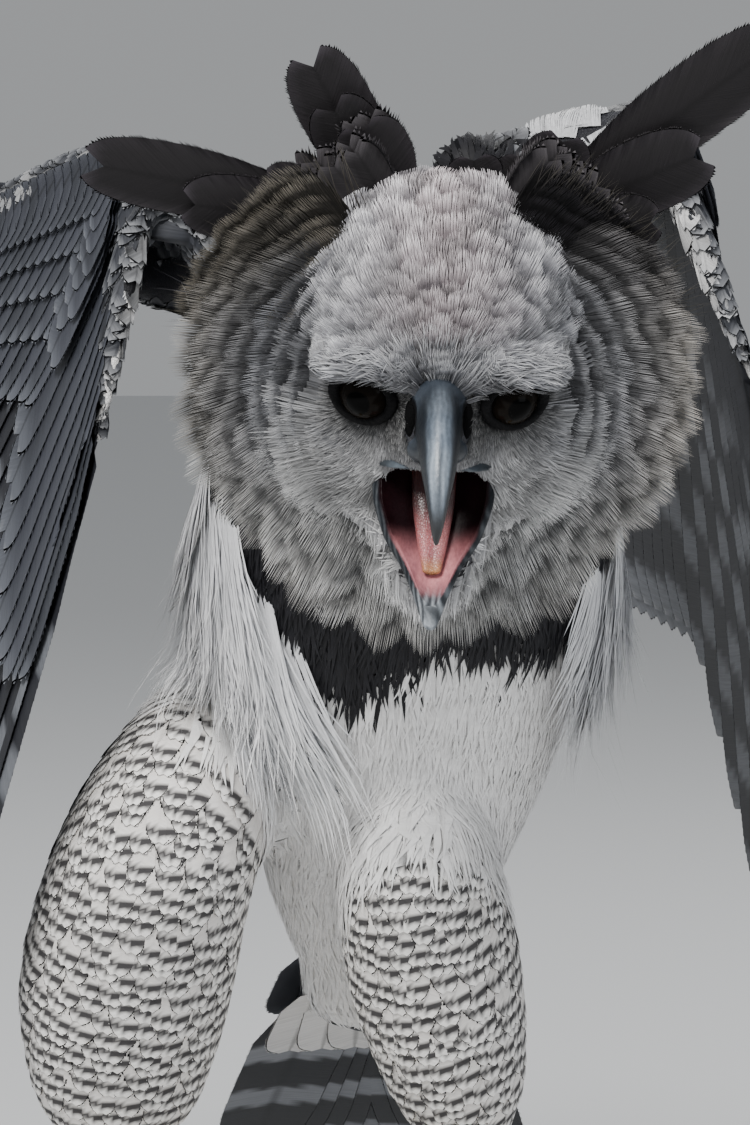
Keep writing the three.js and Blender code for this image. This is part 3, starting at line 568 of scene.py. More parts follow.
# %% Copies of a form over many sites
def grow_feathers(sites, forms, colour, field=None, hold=1.0):
    """One mesh of all feathers of the sites. Each site has root, way, out, length, half,
    low and high (heights at root and tip), cup, sway and uv, and each point lies at
    root + way length x + side half y, then at its height over the skin."""
    total = len(sites["root"])
    pick = rng.integers(0, len(forms), total)
    shade = rng.uniform(0, 1, total)
    points, colours, vanes, uvs, quads, tris, start = [], [], [], [], [], [], 0
    for k, form in enumerate(forms):
        site = {name: value[pick == k] for name, value in sites.items()}
        count = len(site["root"])
        if not count:
            continue
        r = shade[pick == k][:, None]
        x, y = form["x"][None, :], form["y"][None, :]
        side = np.cross(site["way"], site["out"])
        length, half = site["length"][:, None], site["half"][:, None]
        along = length * x
        across = half * y + site["sway"][:, None] * length * x**2
        flat = site["way"][:, None] * along[..., None] + side[:, None] * across[..., None]
        p = site["root"][:, None] + flat * MM
        rise = (site["high"] - site["low"])[:, None]
        height = (site["low"] + 0.5 * shade[pick == k])[:, None] + rise * x**1.2
        height = height - site["cup"][:, None] * y**2 + 0.25 * form["strand"]
        if field is None:
            p = p + site["out"][:, None] * (height * MM)[..., None]
        else:
            p = lay(field, p, height * MM, hold if np.isscalar(hold) else hold(x))
        points.append(p.reshape(-1, 3))
        tone = {name: value[:, None] for name, value in site.items() if name.startswith("tone")}
        own = np.mod(r + 3.7 * form["strand"][None, :], 1)
        shown = colour(tone, x + 0 * r, np.abs(form["s"])[None, :] + 0 * r, own)
        colours.append(np.broadcast_to(shown, p.shape).reshape(-1, 3))
        phase = length * form["phase"][None, :]
        lane = form["s"][None, :] + 0 * phase
        strand = r + 5 * form["strand"][None, :] + 0 * phase
        vanes.append(np.stack([phase, lane, strand], -1).reshape(-1, 3))
        spot = site["uv"][:, None] + 0.003 * np.stack([form["s"] / 2, form["x"] - 0.5], -1)[None]
        uvs.append(spot.reshape(-1, 2))
        n = len(form["x"])
        offset = start + np.arange(count)[:, None, None] * n
        quads.append((form["quads"][None] + offset).reshape(-1, 4))
        tris.append((form["tris"][None] + offset).reshape(-1, 3))
        start += count * n
    return {"points": np.concatenate(points), "quads": np.concatenate(quads), "tris": np.concatenate(tris),
            "colours": np.concatenate(colours), "vanes": np.concatenate(vanes), "uvs": np.concatenate(uvs)}


def coat_piece(name, grown):
    """Makes one object of one or more grown sets, with its colours, vane map and OFBake map."""
    sets = grown if isinstance(grown, list) else [grown]
    points, quads, tris = joined([(g["points"], g["quads"], g["tris"]) for g in sets])
    piece = new_piece(name, points, quads, tris)
    give(piece, "Plumage", np.clip(np.concatenate([g["colours"] for g in sets]), 0.001, 0.95))
    give(piece, "Vane", np.concatenate([g["vanes"] for g in sets]))
    uv = np.concatenate([g["uvs"] for g in sets])
    uv = (np.clip(uv, 0, 1) * 0.98 + 0.01).astype(np.float32)
    corners = np.empty(len(piece.data.loops), np.int32)
    piece.data.loops.foreach_get("vertex_index", corners)
    layer = piece.data.uv_layers.new(name="OFBake")
    layer.data.foreach_set("uv", uv[corners].reshape(-1))
    print(name, sum(len(g["quads"]) * 2 + len(g["tris"]) for g in sets), "triangles")
    return piece


def coat(name, grown, material, slot, *nodes):
    """A piece of plumage with its finish and the nodes it stands for."""
    return dress(coat_piece("plumage_" + name, grown), material, slot, *nodes)


def staggered(surface, first, last, spacing, uneven=0.28, turns=(0.0, 2 * math.pi)):
    """Sites on surface(t, a) in rows a spacing apart, every other row shifted by half a step.
    The spacing in millimetres may change with t. Returns t and a for each site."""
    fine = np.linspace(first, last, 400)
    ring = np.linspace(*turns, 48)
    grid = surface(fine[:, None], ring[None, :]) / MM
    way_along = norm(np.diff(grid, axis=0), axis=-1).max(1)
    arc = np.concatenate([[0], np.cumsum(way_along / (0.8 * spacing(fine[1:])))])
    rows = np.interp(np.arange(0.3, arc[-1], 1.0), arc, fine)
    girth = np.interp(rows, fine, norm(np.diff(grid, axis=1), axis=-1).sum(1))
    ts, angles = [], []
    for i, (t, g) in enumerate(zip(rows, girth)):
        count = max(int(g / spacing(t)), 3)
        a = (np.arange(count) + 0.5 * (i % 2) + rng.uniform(-uneven, uneven, count)) / count
        angles.append(turns[0] + a * (turns[1] - turns[0]))
        step = (rows[min(i + 1, len(rows) - 1)] - rows[max(i - 1, 0)]) / 2
        ts.append(t + step * rng.uniform(-uneven, uneven, count))
    return np.concatenate(ts), np.concatenate(angles)


def chosen(sites, keep):
    """The sites that keep names, by number or by true and false."""
    return {name: value[keep] for name, value in sites.items()}


# %% [markdown]
# Finishes are procedural. One shared group turns a feather's colour and its vane map
# (millimetres along the barbs, place across, a random number) into fine streaks, a dark
# shaft and a bump. Horn and bare skin have groups of noise in object coordinates.


# %% A small builder of shader nodes
def group_of(name, inputs, outputs):
    """A new shader node group, with the sockets that lead into it and those it ends in."""
    group = bpy.data.node_groups.new(name, "ShaderNodeTree")
    for way, sockets in (("INPUT", inputs), ("OUTPUT", outputs)):
        for label, kind in sockets.items():
            group.interface.new_socket(label, in_out=way, socket_type=kind)
    return group, group.nodes.new("NodeGroupInput").outputs, group.nodes.new("NodeGroupOutput").inputs


def node(tree, kind, links=(), **settings):
    """A node with its settings. Each of links gives an input, by name or number, a socket or value."""
    made = tree.nodes.new(kind)
    for key, value in settings.items():
        setattr(made, key, value)
    for where, value in dict(links).items():
        socket = made.inputs[where]
        if isinstance(value, bpy.types.NodeSocket):
            tree.links.new(value, socket)
        else:
            socket.default_value = value
    return made


def maths(tree, operation, *values):
    """One step of arithmetic on sockets or numbers."""
    return node(tree, "ShaderNodeMath", dict(enumerate(values)), operation=operation).outputs[0]


def blend_colour(tree, kind, share, a, b):
    """Two colours blended by a share. A mix node's colour sockets are inputs 6 and 7, output 2."""
    links = {0: share, 6: a, 7: b}
    return node(tree, "ShaderNodeMix", links, data_type="RGBA", blend_type=kind).outputs[2]


def ranged(tree, value, low, high, *ends):
    """A value taken from the range low to high onto 0 to 1, or onto the two ends."""
    links = {"Value": value, 1: low, 2: high, **dict(zip((3, 4), ends))}
    return node(tree, "ShaderNodeMapRange", links).outputs[0]


def noise(tree, where, scale, detail, **more):
    """The strength of a noise texture."""
    links = {"Vector": where, "Scale": scale, "Detail": detail, **more}
    return node(tree, "ShaderNodeTexNoise", links).outputs["Fac"]


def dimmed(tree, colour, gain):
    """A colour times one number for red, green and blue."""
    grey = node(tree, "ShaderNodeCombineColor", {0: gain, 1: gain, 2: gain}).outputs[0]
    return blend_colour(tree, "MULTIPLY", 1.0, colour, grey)


def stored(tree, name, output):
    """Values stored on the piece under a name."""
    return node(tree, "ShaderNodeAttribute", attribute_name=name).outputs[output]


def bumped(tree, height, strength, distance):
    """The normal of a surface with this height on it."""
    links = {"Strength": strength, "Distance": distance, "Height": height}
    return node(tree, "ShaderNodeBump", links).outputs[0]


def times(tree, a, b):
    """A product of two sockets, or of a socket and a number."""
    return maths(tree, "MULTIPLY", a, b)


def ended(group, result, **outputs):
    """The finished group with its outputs linked."""
    for name, socket in outputs.items():
        group.links.new(socket, result[name])
    return group


COLOUR, FLOAT, VECTOR = "NodeSocketColor", "NodeSocketFloat", "NodeSocketVector"


def barbs_group():
    """Feathers: noise along the barbs as streaks and bump, and a line of shadow on the shaft."""
    group, asked, result = group_of(
        "Barbs", {"Colour": COLOUR, "Vane": VECTOR, "Streak": FLOAT, "Shaft": FLOAT, "Fineness": FLOAT},
        {"Colour": COLOUR, "Normal": VECTOR})
    parts = node(group, "ShaderNodeSeparateXYZ", {0: asked["Vane"]}).outputs
    phase = times(group, parts[0], asked["Fineness"])
    across = times(group, parts[1], 0.7)
    own = times(group, parts[2], 41.0)
    where = node(group, "ShaderNodeCombineXYZ", {0: phase, 1: across, 2: own}).outputs[0]
    fine = noise(group, where, 1.0, 3.0, Roughness=0.65)
    gain = times(group, asked["Streak"], 3.0)
    swing = times(group, maths(group, "SUBTRACT", fine, 0.5), gain)
    line = ranged(group, maths(group, "ABSOLUTE", parts[1]), 0.03, 0.14, 1.0, 0.0)
    dark = maths(group, "SUBTRACT", 1.0, times(group, line, asked["Shaft"]))
    total = times(group, maths(group, "ADD", swing, 1.0), dark)
    shown = dimmed(group, asked["Colour"], total)
    return ended(group, result, Colour=shown, Normal=bumped(group, fine, 0.45, 0.0004))


def horn_group():
    """Horn: broad worn patches between two colours, with fine specks as colour, gloss and bump."""
    group, asked, result = group_of(
        "Horn", {"Base": COLOUR, "Worn": COLOUR, "Scale": FLOAT, "Stretch": VECTOR},
        {"Colour": COLOUR, "Rough": FLOAT, "Normal": VECTOR})
    links = {0: node(group, "ShaderNodeTexCoord").outputs["Object"], 1: asked["Stretch"]}
    pulled = node(group, "ShaderNodeVectorMath", links, operation="MULTIPLY").outputs[0]
    broad = noise(group, pulled, asked["Scale"], 6.0, Roughness=0.6)
    fine = noise(group, pulled, times(group, asked["Scale"], 14.0), 4.0)
    colour = blend_colour(group, "MIX", ranged(group, broad, 0.38, 0.68), asked["Base"], asked["Worn"])
    specks = ranged(group, fine, 0.3, 0.75, 0.82, 1.12)
    rough = ranged(group, fine, 0.0, 1.0, 0.24, 0.5)
    bump = bumped(group, fine, 0.25, 0.0006)
    return ended(group, result, Colour=dimmed(group, colour, specks), Rough=rough, Normal=bump)


def hide_group():
    """Bare skin: small cells and folds, darker between the cells."""
    group, asked, result = group_of(
        "Hide", {"Base": COLOUR, "Cells": FLOAT, "Depth": FLOAT}, {"Colour": COLOUR, "Normal": VECTOR})
    place_at = node(group, "ShaderNodeTexCoord").outputs["Object"]
    links = {"Vector": place_at, "Scale": asked["Cells"]}
    cells = node(group, "ShaderNodeTexVoronoi", links, feature="DISTANCE_TO_EDGE").outputs["Distance"]
    edge = ranged(group, cells, 0.0, 0.16)
    in_cell = maths(group, "ADD", 0.62, times(group, edge, 0.38))
    patches = maths(group, "ADD", 0.65, times(group, noise(group, place_at, 90.0, 5.0), 0.7))
    tone = times(group, in_cell, patches)
    bump = bumped(group, edge, asked["Depth"], 0.0008)
    return ended(group, result, Colour=dimmed(group, asked["Base"], tone), Normal=bump)


BARBS, HORN, HIDE = barbs_group(), horn_group(), hide_group()


def rgba(hexcode):
    """A screen colour for a shader's socket."""
    return (*[float(c) for c in linear(hexcode)], 1.0)


def finish(name, **fixed):
    """A Principled material with constant values on its own sockets."""
    material = bpy.data.materials.new(name)
    material.use_nodes = True
    shader = material.node_tree.nodes["Principled BSDF"]
    for key, value in fixed.items():
        shader.inputs[key.replace("_", " ")].default_value = value
    return material, material.node_tree, shader


def group_finish(name, group, given, fixed, painted=False):
    """A material led by one group with these inputs. If painted, its colour is multiplied by the
    piece's own colours."""
    material, tree, shader = finish(name, **fixed)
    made = node(tree, "ShaderNodeGroup", given(tree), node_tree=group).outputs
    colour = made["Colour"]
    if painted:
        colour = blend_colour(tree, "MULTIPLY", 1.0, stored(tree, "Plumage", "Color"), colour)
    links = {"Base Color": colour, "Normal": made["Normal"], "Roughness": made.get("Rough")}
    for label, socket in links.items():
        if socket:
            tree.links.new(socket, shader.inputs[label])
    return material


def feather_finish(name, streak=0.3, shaft=0.3, fineness=1.6, roughness=0.72):
    """The look of feathers, led by the piece's colours and its vane map."""
    fixed = {"Roughness": roughness, "Specular_IOR_Level": 0.22}
    return group_finish(name, BARBS, lambda tree: {
        "Colour": stored(tree, "Plumage", "Color"), "Vane": stored(tree, "Vane", "Vector"),
        "Streak": streak, "Shaft": shaft, "Fineness": fineness}, fixed)


def horn_finish(name, base, worn, scale, stretch, painted=False, **fixed):
    """The look of bill and claws."""
    given = {"Base": rgba(base), "Worn": rgba(worn), "Scale": scale, "Stretch": stretch}
    return group_finish(name, HORN, lambda tree: given, fixed, painted)


def hide_finish(name, base, cells, depth, painted=False, **fixed):
    """The look of bare skin, wet or scaled."""
    given = {"Base": rgba(base), "Cells": cells, "Depth": depth}
    return group_finish(name, HIDE, lambda tree: given, fixed, painted)


def dress(piece, material, slot, *nodes):
    """Gives a piece its material, the body it rides on and the nodes it stands for; the slot is not used.
    """
    piece.data.materials.clear()
    piece.data.materials.append(material)
    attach(piece, "root")
    if nodes:
        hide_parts(*nodes)
    return piece


print("groups", [g.name for g in bpy.data.node_groups])

# %% [markdown]
# The bill is horn over bone. The upper half hooks down over the lower, with a slit of a
# nostril each side. A loft gives the curve of its ridge, a voxel remesh fuses it with the
# rim at the mouth corner, and two eggs are cut out for the nostrils. A near-black plug
# closes them from within, as painted shade in the holes.

# %% The bill
NOSTRIL = np.array([12.6, -24.5, 4])
NOSTRIL_TURN = (-20, 0, 0)
UPPER_BILL = {"stations": [
    ((0, -14, 3), 14, 20), ((0, -21, 3.3), 12.6, 19.3), ((0, -30, 3.5), 9.9, 18.5),
    ((0, -44, 1.5), 8.8, 15.5), ((0, -57, -3), 7.3, 12), ((0, -66, -9), 5.4, 9),
    ((0, -72.2, -16), 3.7, 5.9), ((0, -74.7, -23), 2.3, 3.3), ((0, -75.0, -28.5), 1.2, 1.3),
]}
JAW = {"stations": [
    ((0, 2, -8), 27.5, 10), ((0, -14, -8), 26, 11), ((0, -30, -8), 21, 11), ((0, -44, -7), 12.8, 9.5),
    ((0, -57, -5), 7.4, 7), ((0, -66, -2.5), 4.6, 4.6), ((0, -71, -0.5), 2.9, 2.6),
]}
TROUGH = {"stations": [
    ((0, 16, 3), 26, 12), ((0, -14, 3), 24.9, 12), ((0, -30, 3), 19.8, 11.5), ((0, -44, 3), 11.6, 9.5),
    ((0, -56, 4), 6.1, 7), ((0, -62, 5), 3.2, 4),
]}
TONGUE = {"stations": [
    ((0, 6, -6.8), 10, 3), ((0, -16, -5.2), 9, 3.4), ((0, -34, -4.6), 6.4, 3.2), ((0, -46, -3.2), 3.9, 2),
]}
BILL_VOXEL = 0.0010
LIP_DROOP = 0.011
GAPE_ANGLE = math.radians(45)
HINGE = np.array([0, -8, -28])


def hang(points):
    """The lower jaw's own frame, swung open by the gape, in the head's frame."""
    return np.asarray(points, float) @ turned(GAPE_ANGLE, 0).T + HINGE


def place_jaw(points):
    """The lower jaw's own frame to the part's frame."""
    return place_head(hang(points))


def rictus_bent(points):
    """Lets the two ends of the upper lip droop to the mouth corners, by LIP_DROOP x^2."""
    local = to_head(points)
    local[:, 2] -= LIP_DROOP * local[:, 0] ** 2
    return place_head(local)


def from_nostril(local):
    """The way to each point of the head's frame from the nostril on its own side."""
    return np.abs(local) * [1, 0, 0] + local * [0, 1, 1] - NOSTRIL


def upper_bill_tone(local):
    """Slate horn with a painted highlight along the ridge, broken by streaks, a grey cere, a dark tip, lips
    painted lit above the rim's edge and shaded below it, and painted shade in the nostrils.
    """
    x, y, z = local.T
    wide = np.abs(x)
    cere = smoothstep(-34, -24, y)
    tip = smoothstep(-6, -22, z) * smoothstep(-55, -62, y)
    ridge = smooth_path([s[0] for s in UPPER_BILL["stations"]], np.linspace(0, 1, 200))
    nearest = np.argmin(norm((local[:, None] - ridge[None]) * [0, 1, 1], axis=2), axis=1)
    away = local - ridge[nearest]
    # The pale ridge is a painted highlight: paler where the surface faces up and forward, broken by streaks
    # and by a darker line down the middle near the tip.
    ridge_highlight = smoothstep(0.7, 1.0, unit(away) @ np.array([0, -0.62, 0.78])) ** 1.5
    streaks = 0.5 + 0.5 * np.sin(2.6 * away[:, 0] + 1.3 * np.sin(0.35 * y))
    middle_streak = smoothstep(-50, -66, y) * np.exp(-((away[:, 0] / 1.6) ** 2))
    pale = ridge_highlight * (1 - 0.35 * streaks) * (1 - 0.75 * middle_streak)
    tone = mixed(0x22262B, 0x98A3AE, pale)
    tone = mixed(tone, 0x4A515A, 0.5 * cere)
    # The lip is painted as a lit grey band above the rim's edge, darker towards the mouth corners, and near
    # black below the edge as painted shade under the rim.
    lip = smoothstep(12, 15, wide) * smoothstep(-8, -12, z)
    lit_lip = linear(0x535B62) * (0.35 + 0.65 * smoothstep(24, 15, wide))[:, None]
    over_edge = smoothstep(-3.5, 0.5, z + 19 + LIP_DROOP * x ** 2)
    tone = mixed(tone, mixed(0x121315, lit_lip, over_edge), lip)
    tone = mixed(tone, 0x17181B, 0.9 * tip)
    # The nostrils are painted near black, as shade in their holes.
    hole = norm(from_nostril(local) / (4.7, 8.5, 8.8), axis=1)
    return mixed(tone, 0x08080A, smoothstep(1.15, 0.95, hole))


def jaw_tone(own):
    """Dark horn, pale and grained at its front, with the wet pink floor of the mouth inside, darkening to
    near black towards the throat as painted shade.
    """
    x, y, z = own.T
    trough = np.array([[s[0][1], s[0][2], s[1], s[2]] for s in TROUGH["stations"]], float)[::-1]
    middle_z, wide, deep = [np.interp(y, trough[:, 0], trough[:, k]) for k in (1, 2, 3)]
    inside = smoothstep(1.16, 1.04, np.hypot(x / wide, (z - middle_z) / deep))
    inside = inside * smoothstep(-61, -50, y)
    front = smoothstep(-48, -62, y)
    grain = 0.5 + 0.5 * np.sin(2.1 * x + 1.4 * np.sin(0.31 * y) + 0.9 * z)
    pale = front * (0.08 + 0.62 * grain**2 + 0.3 * smoothstep(-67, -71, y))
    tone = mixed(0x202327, 0xB4B9BD, 0.11 * grain**2 * (1 - front) + pale)
    # The floor of the mouth goes from pink at the front to near black towards the throat: painted shade.
    flesh = mixed(0xB9777A, 0x16070A, smoothstep(-46, -24, y))
    return mixed(tone, flesh, inside)


def block_mesh(low, high):
    """A closed box between two corners."""
    corners = [[x, y, z] for x in (low[0], high[0]) for y in (low[1], high[1]) for z in (low[2], high[2])]
    sides = [[0, 1, 3, 2], [4, 6, 7, 5], [0, 4, 5, 1], [2, 3, 7, 6], [0, 2, 6, 4], [1, 5, 7, 3]]
    return np.array(corners, float), np.array(sides), np.zeros((0, 3), int)


rictus = head_egg((0, -6.5, -19.3), (25.6, 20.6, 2.6))
rictus[0][:, :] = rictus_bent(rictus[0])
flare = head_egg((0, -23, -10.5), (13.6, 13, 8.5), NOSTRIL_TURN)
holes = [head_egg(NOSTRIL * [s, 1, 1], (4.2, 5.0, 6.4), NOSTRIL_TURN) for s in (-1, 1)]
hook = in_place(loft_mesh(UPPER_BILL, 60, 48, 0.5), place_head)
bill_upper = fused("bill_upper_horn", [hook, flare, rictus], BILL_VOXEL, 8, holes)
give(bill_upper, "Plumage", upper_bill_tone(to_head(read_points(bill_upper))) * 1.3)
bill_finish = horn_finish("bill horn", 0xB4B9C0, 0xFFFFFF, 70.0, (1, 0.3, 0.6), True,
                          Specular_IOR_Level=0.45, Coat_Weight=0.12, Coat_Roughness=0.25)
dress(bill_upper, bill_finish, "horn", "bill_upper")

# Near-black plugs inside the nostrils stand for the shade in the holes.
plugs = [head_egg((11.2 * s, -21.0, 2.0), (3.6, 3.8, 9.6), NOSTRIL_TURN) for s in (-1, 1)]
nostril_shade_finish = hide_finish("nostril shade", 0x0B0B0C, 900.0, 0.4, Roughness=0.8, Specular_IOR_Level=0.05)
dress(new_piece("nostril_shade_plug", *joined(plugs)), nostril_shade_finish, "horn")

jaw_top = in_place(block_mesh((-40, -110, 0.8), (40, 20, 40)), place_jaw)
hollow = in_place(loft_mesh(TROUGH, 40, 40, 0.6), place_jaw)
jaw = in_place(loft_mesh(JAW, 50, 48, 0.6), place_jaw)
bill_lower = fused("bill_lower_horn", [jaw], BILL_VOXEL, 4, [jaw_top, hollow])
own = (to_head(read_points(bill_lower)) - HINGE) @ turned(GAPE_ANGLE, 0)
give(bill_lower, "Plumage", jaw_tone(own) * 1.3)
jaw_finish = horn_finish("jaw horn", 0xB4B9C0, 0xFFFFFF, 70.0, (1, 0.3, 0.6), True, Specular_IOR_Level=0.06)
dress(bill_lower, jaw_finish, "horn", "bill_lower")
print("bill", len(bill_upper.data.polygons), len(bill_lower.data.polygons))

# %% [markdown]
# The tongue is a wet, pink, grooved strip that lies in the lower bill. Its loft is hollowed
# along the middle: the top drops by 1.1 exp(-(x / 2.2)^2) at x mm from the middle.

# %% The tongue
points, quads, tris = loft_mesh(TONGUE, 60, 40, 0.7)
spine = smooth_path([s[0] for s in TONGUE["stations"]], np.clip((6 - points[:, 1]) / 52, 0, 1))
groove = np.exp(-((points[:, 0] / 2.2) ** 2)) * (points[:, 2] > spine[:, 2])
points[:, 2] -= 1.1 * groove
tongue = new_piece("tongue_flesh", place_jaw(points), quads, tris)
tip = smoothstep(-38, -47, points[:, 1])
# The tongue's rear is painted near black as shade inside the mouth, and only its front is pink.
front = smoothstep(-16, -35, points[:, 1])[:, None]
pink = mixed(0xBE7A7C, 0x8A4650, groove * 0.6)
give(tongue, "Plumage", mixed(pink, 0xC08F55, tip * 0.8) * (0.12 + 0.93 * front))
flesh_finish = hide_finish("wet flesh", 0xDDD5D5, 900.0, 0.3, True, Roughness=0.36,
                           Specular_IOR_Level=0.45, Subsurface_Weight=0.15, Subsurface_Scale=0.004,
                           Coat_Weight=0.08, Coat_Roughness=0.2)
dress(tongue, flesh_finish, "flesh", "tongue")

# %% [markdown]
# The eyes are nearly black balls, with a clear dome in front. The angle from the gaze is
# kept for each point, so the material can paint pupil and iris as rings of that angle.

# %% Eyes and lids
LID_RADIUS, LID_THICK, LID_TURN, LID_AHEAD = 12.4, 2.2, math.radians(24), 6.5


def eye_piece(side, sign):
    """A ball with a clear dome ahead. Gaze holds the angle from the gaze, and the turn round it."""
    centre = place_head([EYE_AT * [sign, 1, 1]])[0]
    gaze = unit(head_way([sign * 0.42, -1.0, -0.02]))
    points, quads, tris = egg_mesh(np.zeros(3), (1, 1, 1), rings=46, around=64)
    side_way = unit(np.cross(gaze, UP))
    over = np.cross(side_way, gaze)
    points = points[:, :1] * gaze + points[:, 1:2] * side_way + points[:, 2:] * over
    angle = np.arccos(np.clip(points @ gaze, -1, 1))
    radius = EYE_RADIUS * (1 + 0.07 * np.exp(-((angle / 0.5) ** 2))) - 0.35
    eye = new_piece("eye_ball_" + side, centre + points * radius[:, None] * MM, quads, tris)
    fibres = np.arctan2(points @ over, points @ side_way)
    give(eye, "Gaze", np.stack([angle, np.cos(fibres), np.sin(fibres)], -1))
    return eye


def eye_finish():
    """Rings of the angle from the gaze, in radians: pupil to 0.43, iris with fibres, dark rim from 0.92."""
    material, tree, shader = finish("eye", Roughness=0.16, Specular_IOR_Level=0.03, Coat_Weight=0.035,
                                    Coat_Roughness=0.02)
    parts = node(tree, "ShaderNodeSeparateXYZ", {0: stored(tree, "Gaze", "Vector")}).outputs
    pulled = {k: times(tree, parts[k], gain) for k, gain in enumerate((1.2, 9.0, 9.0))}
    fibre = noise(tree, node(tree, "ShaderNodeCombineXYZ", pulled).outputs[0], 2.4, 4.0)
    iris = blend_colour(tree, "MIX", fibre, rgba(0x080706), rgba(0x1A1511))
    shown = blend_colour(tree, "MIX", ranged(tree, parts[0], 0.40, 0.46), rgba(0x020202), iris)
    shown = blend_colour(tree, "MIX", ranged(tree, parts[0], 0.92, 1.02), shown, rgba(0x100E0D))
    tree.links.new(shown, shader.inputs["Base Color"])
    return material


def lid_mesh(sign):
    """A rim of skin round the eye: an oval ring with a round section, with folds as small waves
    along the section, turned outwards with the eye."""
    rings, around = 120, 22
    a = np.linspace(0, 2 * np.pi, rings, endpoint=False)[:, None]
    b = np.linspace(0, 2 * np.pi, around, endpoint=False)[None, :]
    thick = LID_THICK * (1 + 0.08 * np.sin(3 * b + 7 * np.sin(a)) + 0.05 * np.sin(31 * a + 2 * b))
    ring = LID_RADIUS + thick * np.cos(b)
    x = ring * np.cos(a) * 1.1
    z = ring * np.sin(a) * 0.86
    y = -thick * np.sin(b) + 0.5 * np.cos(2 * a)
    points = np.stack([x, y + 0 * x, z], -1).reshape(-1, 3)
    c, s = math.cos(sign * LID_TURN), math.sin(sign * LID_TURN)
    points = points @ np.array([[c, s, 0], [-s, c, 0], [0, 0, 1]])
    ahead = np.array([s, -c, 0]) * LID_AHEAD
    n = np.arange(rings * around).reshape(rings, around)
    along, round_it = np.roll(n, -1, 0), np.roll(n, -1, 1)
    quads = np.stack([n, along, np.roll(along, -1, 1), round_it], -1).reshape(-1, 4)
    return place_head(points + EYE_AT * [sign, 1, 1] + ahead), quads


EYE_LOOK = eye_finish()
lid_finish = hide_finish("lid skin", 0x0D0D0F, 1400.0, 0.6, Roughness=0.7, Specular_IOR_Level=0.12)
for side, sign in (("right", -1), ("left", 1)):
    dress(eye_piece(side, sign), EYE_LOOK, "iris", "eye_" + side)
    points, quads = lid_mesh(sign)
    dress(new_piece("lid_" + side, points, quads), lid_finish, "grey_down")
print("eyes at", np.round(place_head([EYE_AT * [-1, 1, 1], EYE_AT]), 3).tolist())

# %% [markdown]
# Below the barred trousers the legs are bare: a thick shank with a row of broad scutes down
# its front, four toes with pads, and black claws. The camera does not reach so far down,
# yet the model has them in full, from the same stations as the solids.

# %% Shanks, toes and claws
TOES = {"inner": (34, 66, 13, 64), "middle": (3, 88, 12.5, 56), "outer": (-30, 72, 11.5, 50),
        "hind": (178, 58, 14, 80)}
TOE_FLOOR = 2.4
SHANK_RADII = ((0, 14, 15), (0.3, 12, 12.5), (0.7, 12, 12.5), (1, 15, 14))


def shank_part(leg):
    """A shank: raised plates across its front, |sin|^0.35 along it, and small scales behind."""
    ankle, foot = np.array(leg["ankle"], float), np.array(leg["foot"], float)
    stations = [(ankle + (foot - ankle) * t, w, d) for t, w, d in SHANK_RADII]
    points, quads, tris = loft_mesh({"stations": stations}, 110, 56, 0.6)
    share = (points - ankle) @ (foot - ankle) / ((foot - ankle) @ (foot - ankle))
    centre = ankle + (foot - ankle) * share[:, None]
    away = unit(points - centre)
    front = smoothstep(0.1, 0.5, -away[:, 1])
    plate = np.abs(np.sin(share * np.pi * 11)) ** 0.35
    turn = np.arctan2(away[:, 0], -away[:, 1])
    small = 0.5 + 0.5 * np.sin(share * 95 + 3 * turn) * np.sin(14 * turn)
    return points + away * (1.3 * front * plate + 0.5 * (1 - front) * small)[:, None], quads, tris


def toe_frame(leg, sign, angle):
    """The way of a toe and the way to its side, level with the floor."""
    a = math.radians(leg["turn"] + sign * -angle)
    return np.array([math.sin(a), -math.cos(a), 0]), np.array([math.cos(a), math.sin(a), 0])


def toe_part(leg, sign, toe):
    """A toe: ovals along its way, wide at the pads and narrow between, with scutes on top."""
    rings, around = 90, 40
    angle, length, thick, _ = TOES[toe]
    way, side = toe_frame(leg, sign, angle)
    foot = np.array(leg["foot"], float)
    t, a = ring_grid(rings, around)
    knots, sizes, rises = [0, 0.34, 0.56, 0.78, 1], [1, 0.92, 0.8, 0.86, 0.62], [0, 1.5, 1, 0, 2]
    r = thick * np.interp(t, knots, sizes) * (1 + 0.05 * np.cos(t * 2 * np.pi * 4))
    z = thick * np.interp(t, knots, sizes) - TOE_FLOOR + np.interp(t, knots, rises)
    z = z + (foot[2] - 6 - z) * np.clip(1 - t / 0.3, 0, 1) ** 2
    plate = 0.9 * np.abs(np.sin(t * np.pi * 9)) ** 0.4 * np.clip(np.sin(a), 0, 1) ** 0.5
    centre = foot * [1, 1, 0] + way * (t * length)[..., None]
    p = centre + side * (r * np.cos(a))[..., None] + UP * (z + (r + plate) * np.sin(a))[..., None]
    close = np.clip(np.minimum(t / 0.03, (1 - t) / 0.06), 0.02, 1)[..., None] ** 0.5
    p = (centre + UP * z[..., None]) * (1 - close) + p * close
    p[..., 2] = np.maximum(p[..., 2], 0)
    ends = [p[0].mean(0), p[-1].mean(0)]
    return (np.concatenate([p.reshape(-1, 3), ends]), *ring_faces(rings, around))


def claw_part(leg, sign, toe):
    """A claw: a tapering tube whose middle rises as 0.26 claw sin(pi t) and ends at a point."""
    rings, around = 40, 28
    angle, length, thick, claw = TOES[toe]
    way, side = toe_frame(leg, sign, angle)
    t, a = ring_grid(rings, around)
    size = 0.56 * thick + (0.9 - 0.56 * thick) * t**0.9
    z = (0.62 * thick + 2) * (1 - t * t) + 0.26 * claw * np.sin(np.pi * t) * (1 - 0.45 * t)
    z = np.maximum(z, size + 0.4)
    along = way * (0.97 * length + 0.78 * claw * t)[..., None]
    centre = np.array(leg["foot"], float) * [1, 1, 0] + along + UP * z[..., None]
    p = centre + side * (0.82 * size * np.cos(a))[..., None] + UP * (size * np.sin(a))[..., None]
    ends = [centre[0, 0] - way * 1.5, centre[-1, 0] + way * 0.9]
    return (np.concatenate([p.reshape(-1, 3), ends]), *ring_faces(rings, around))


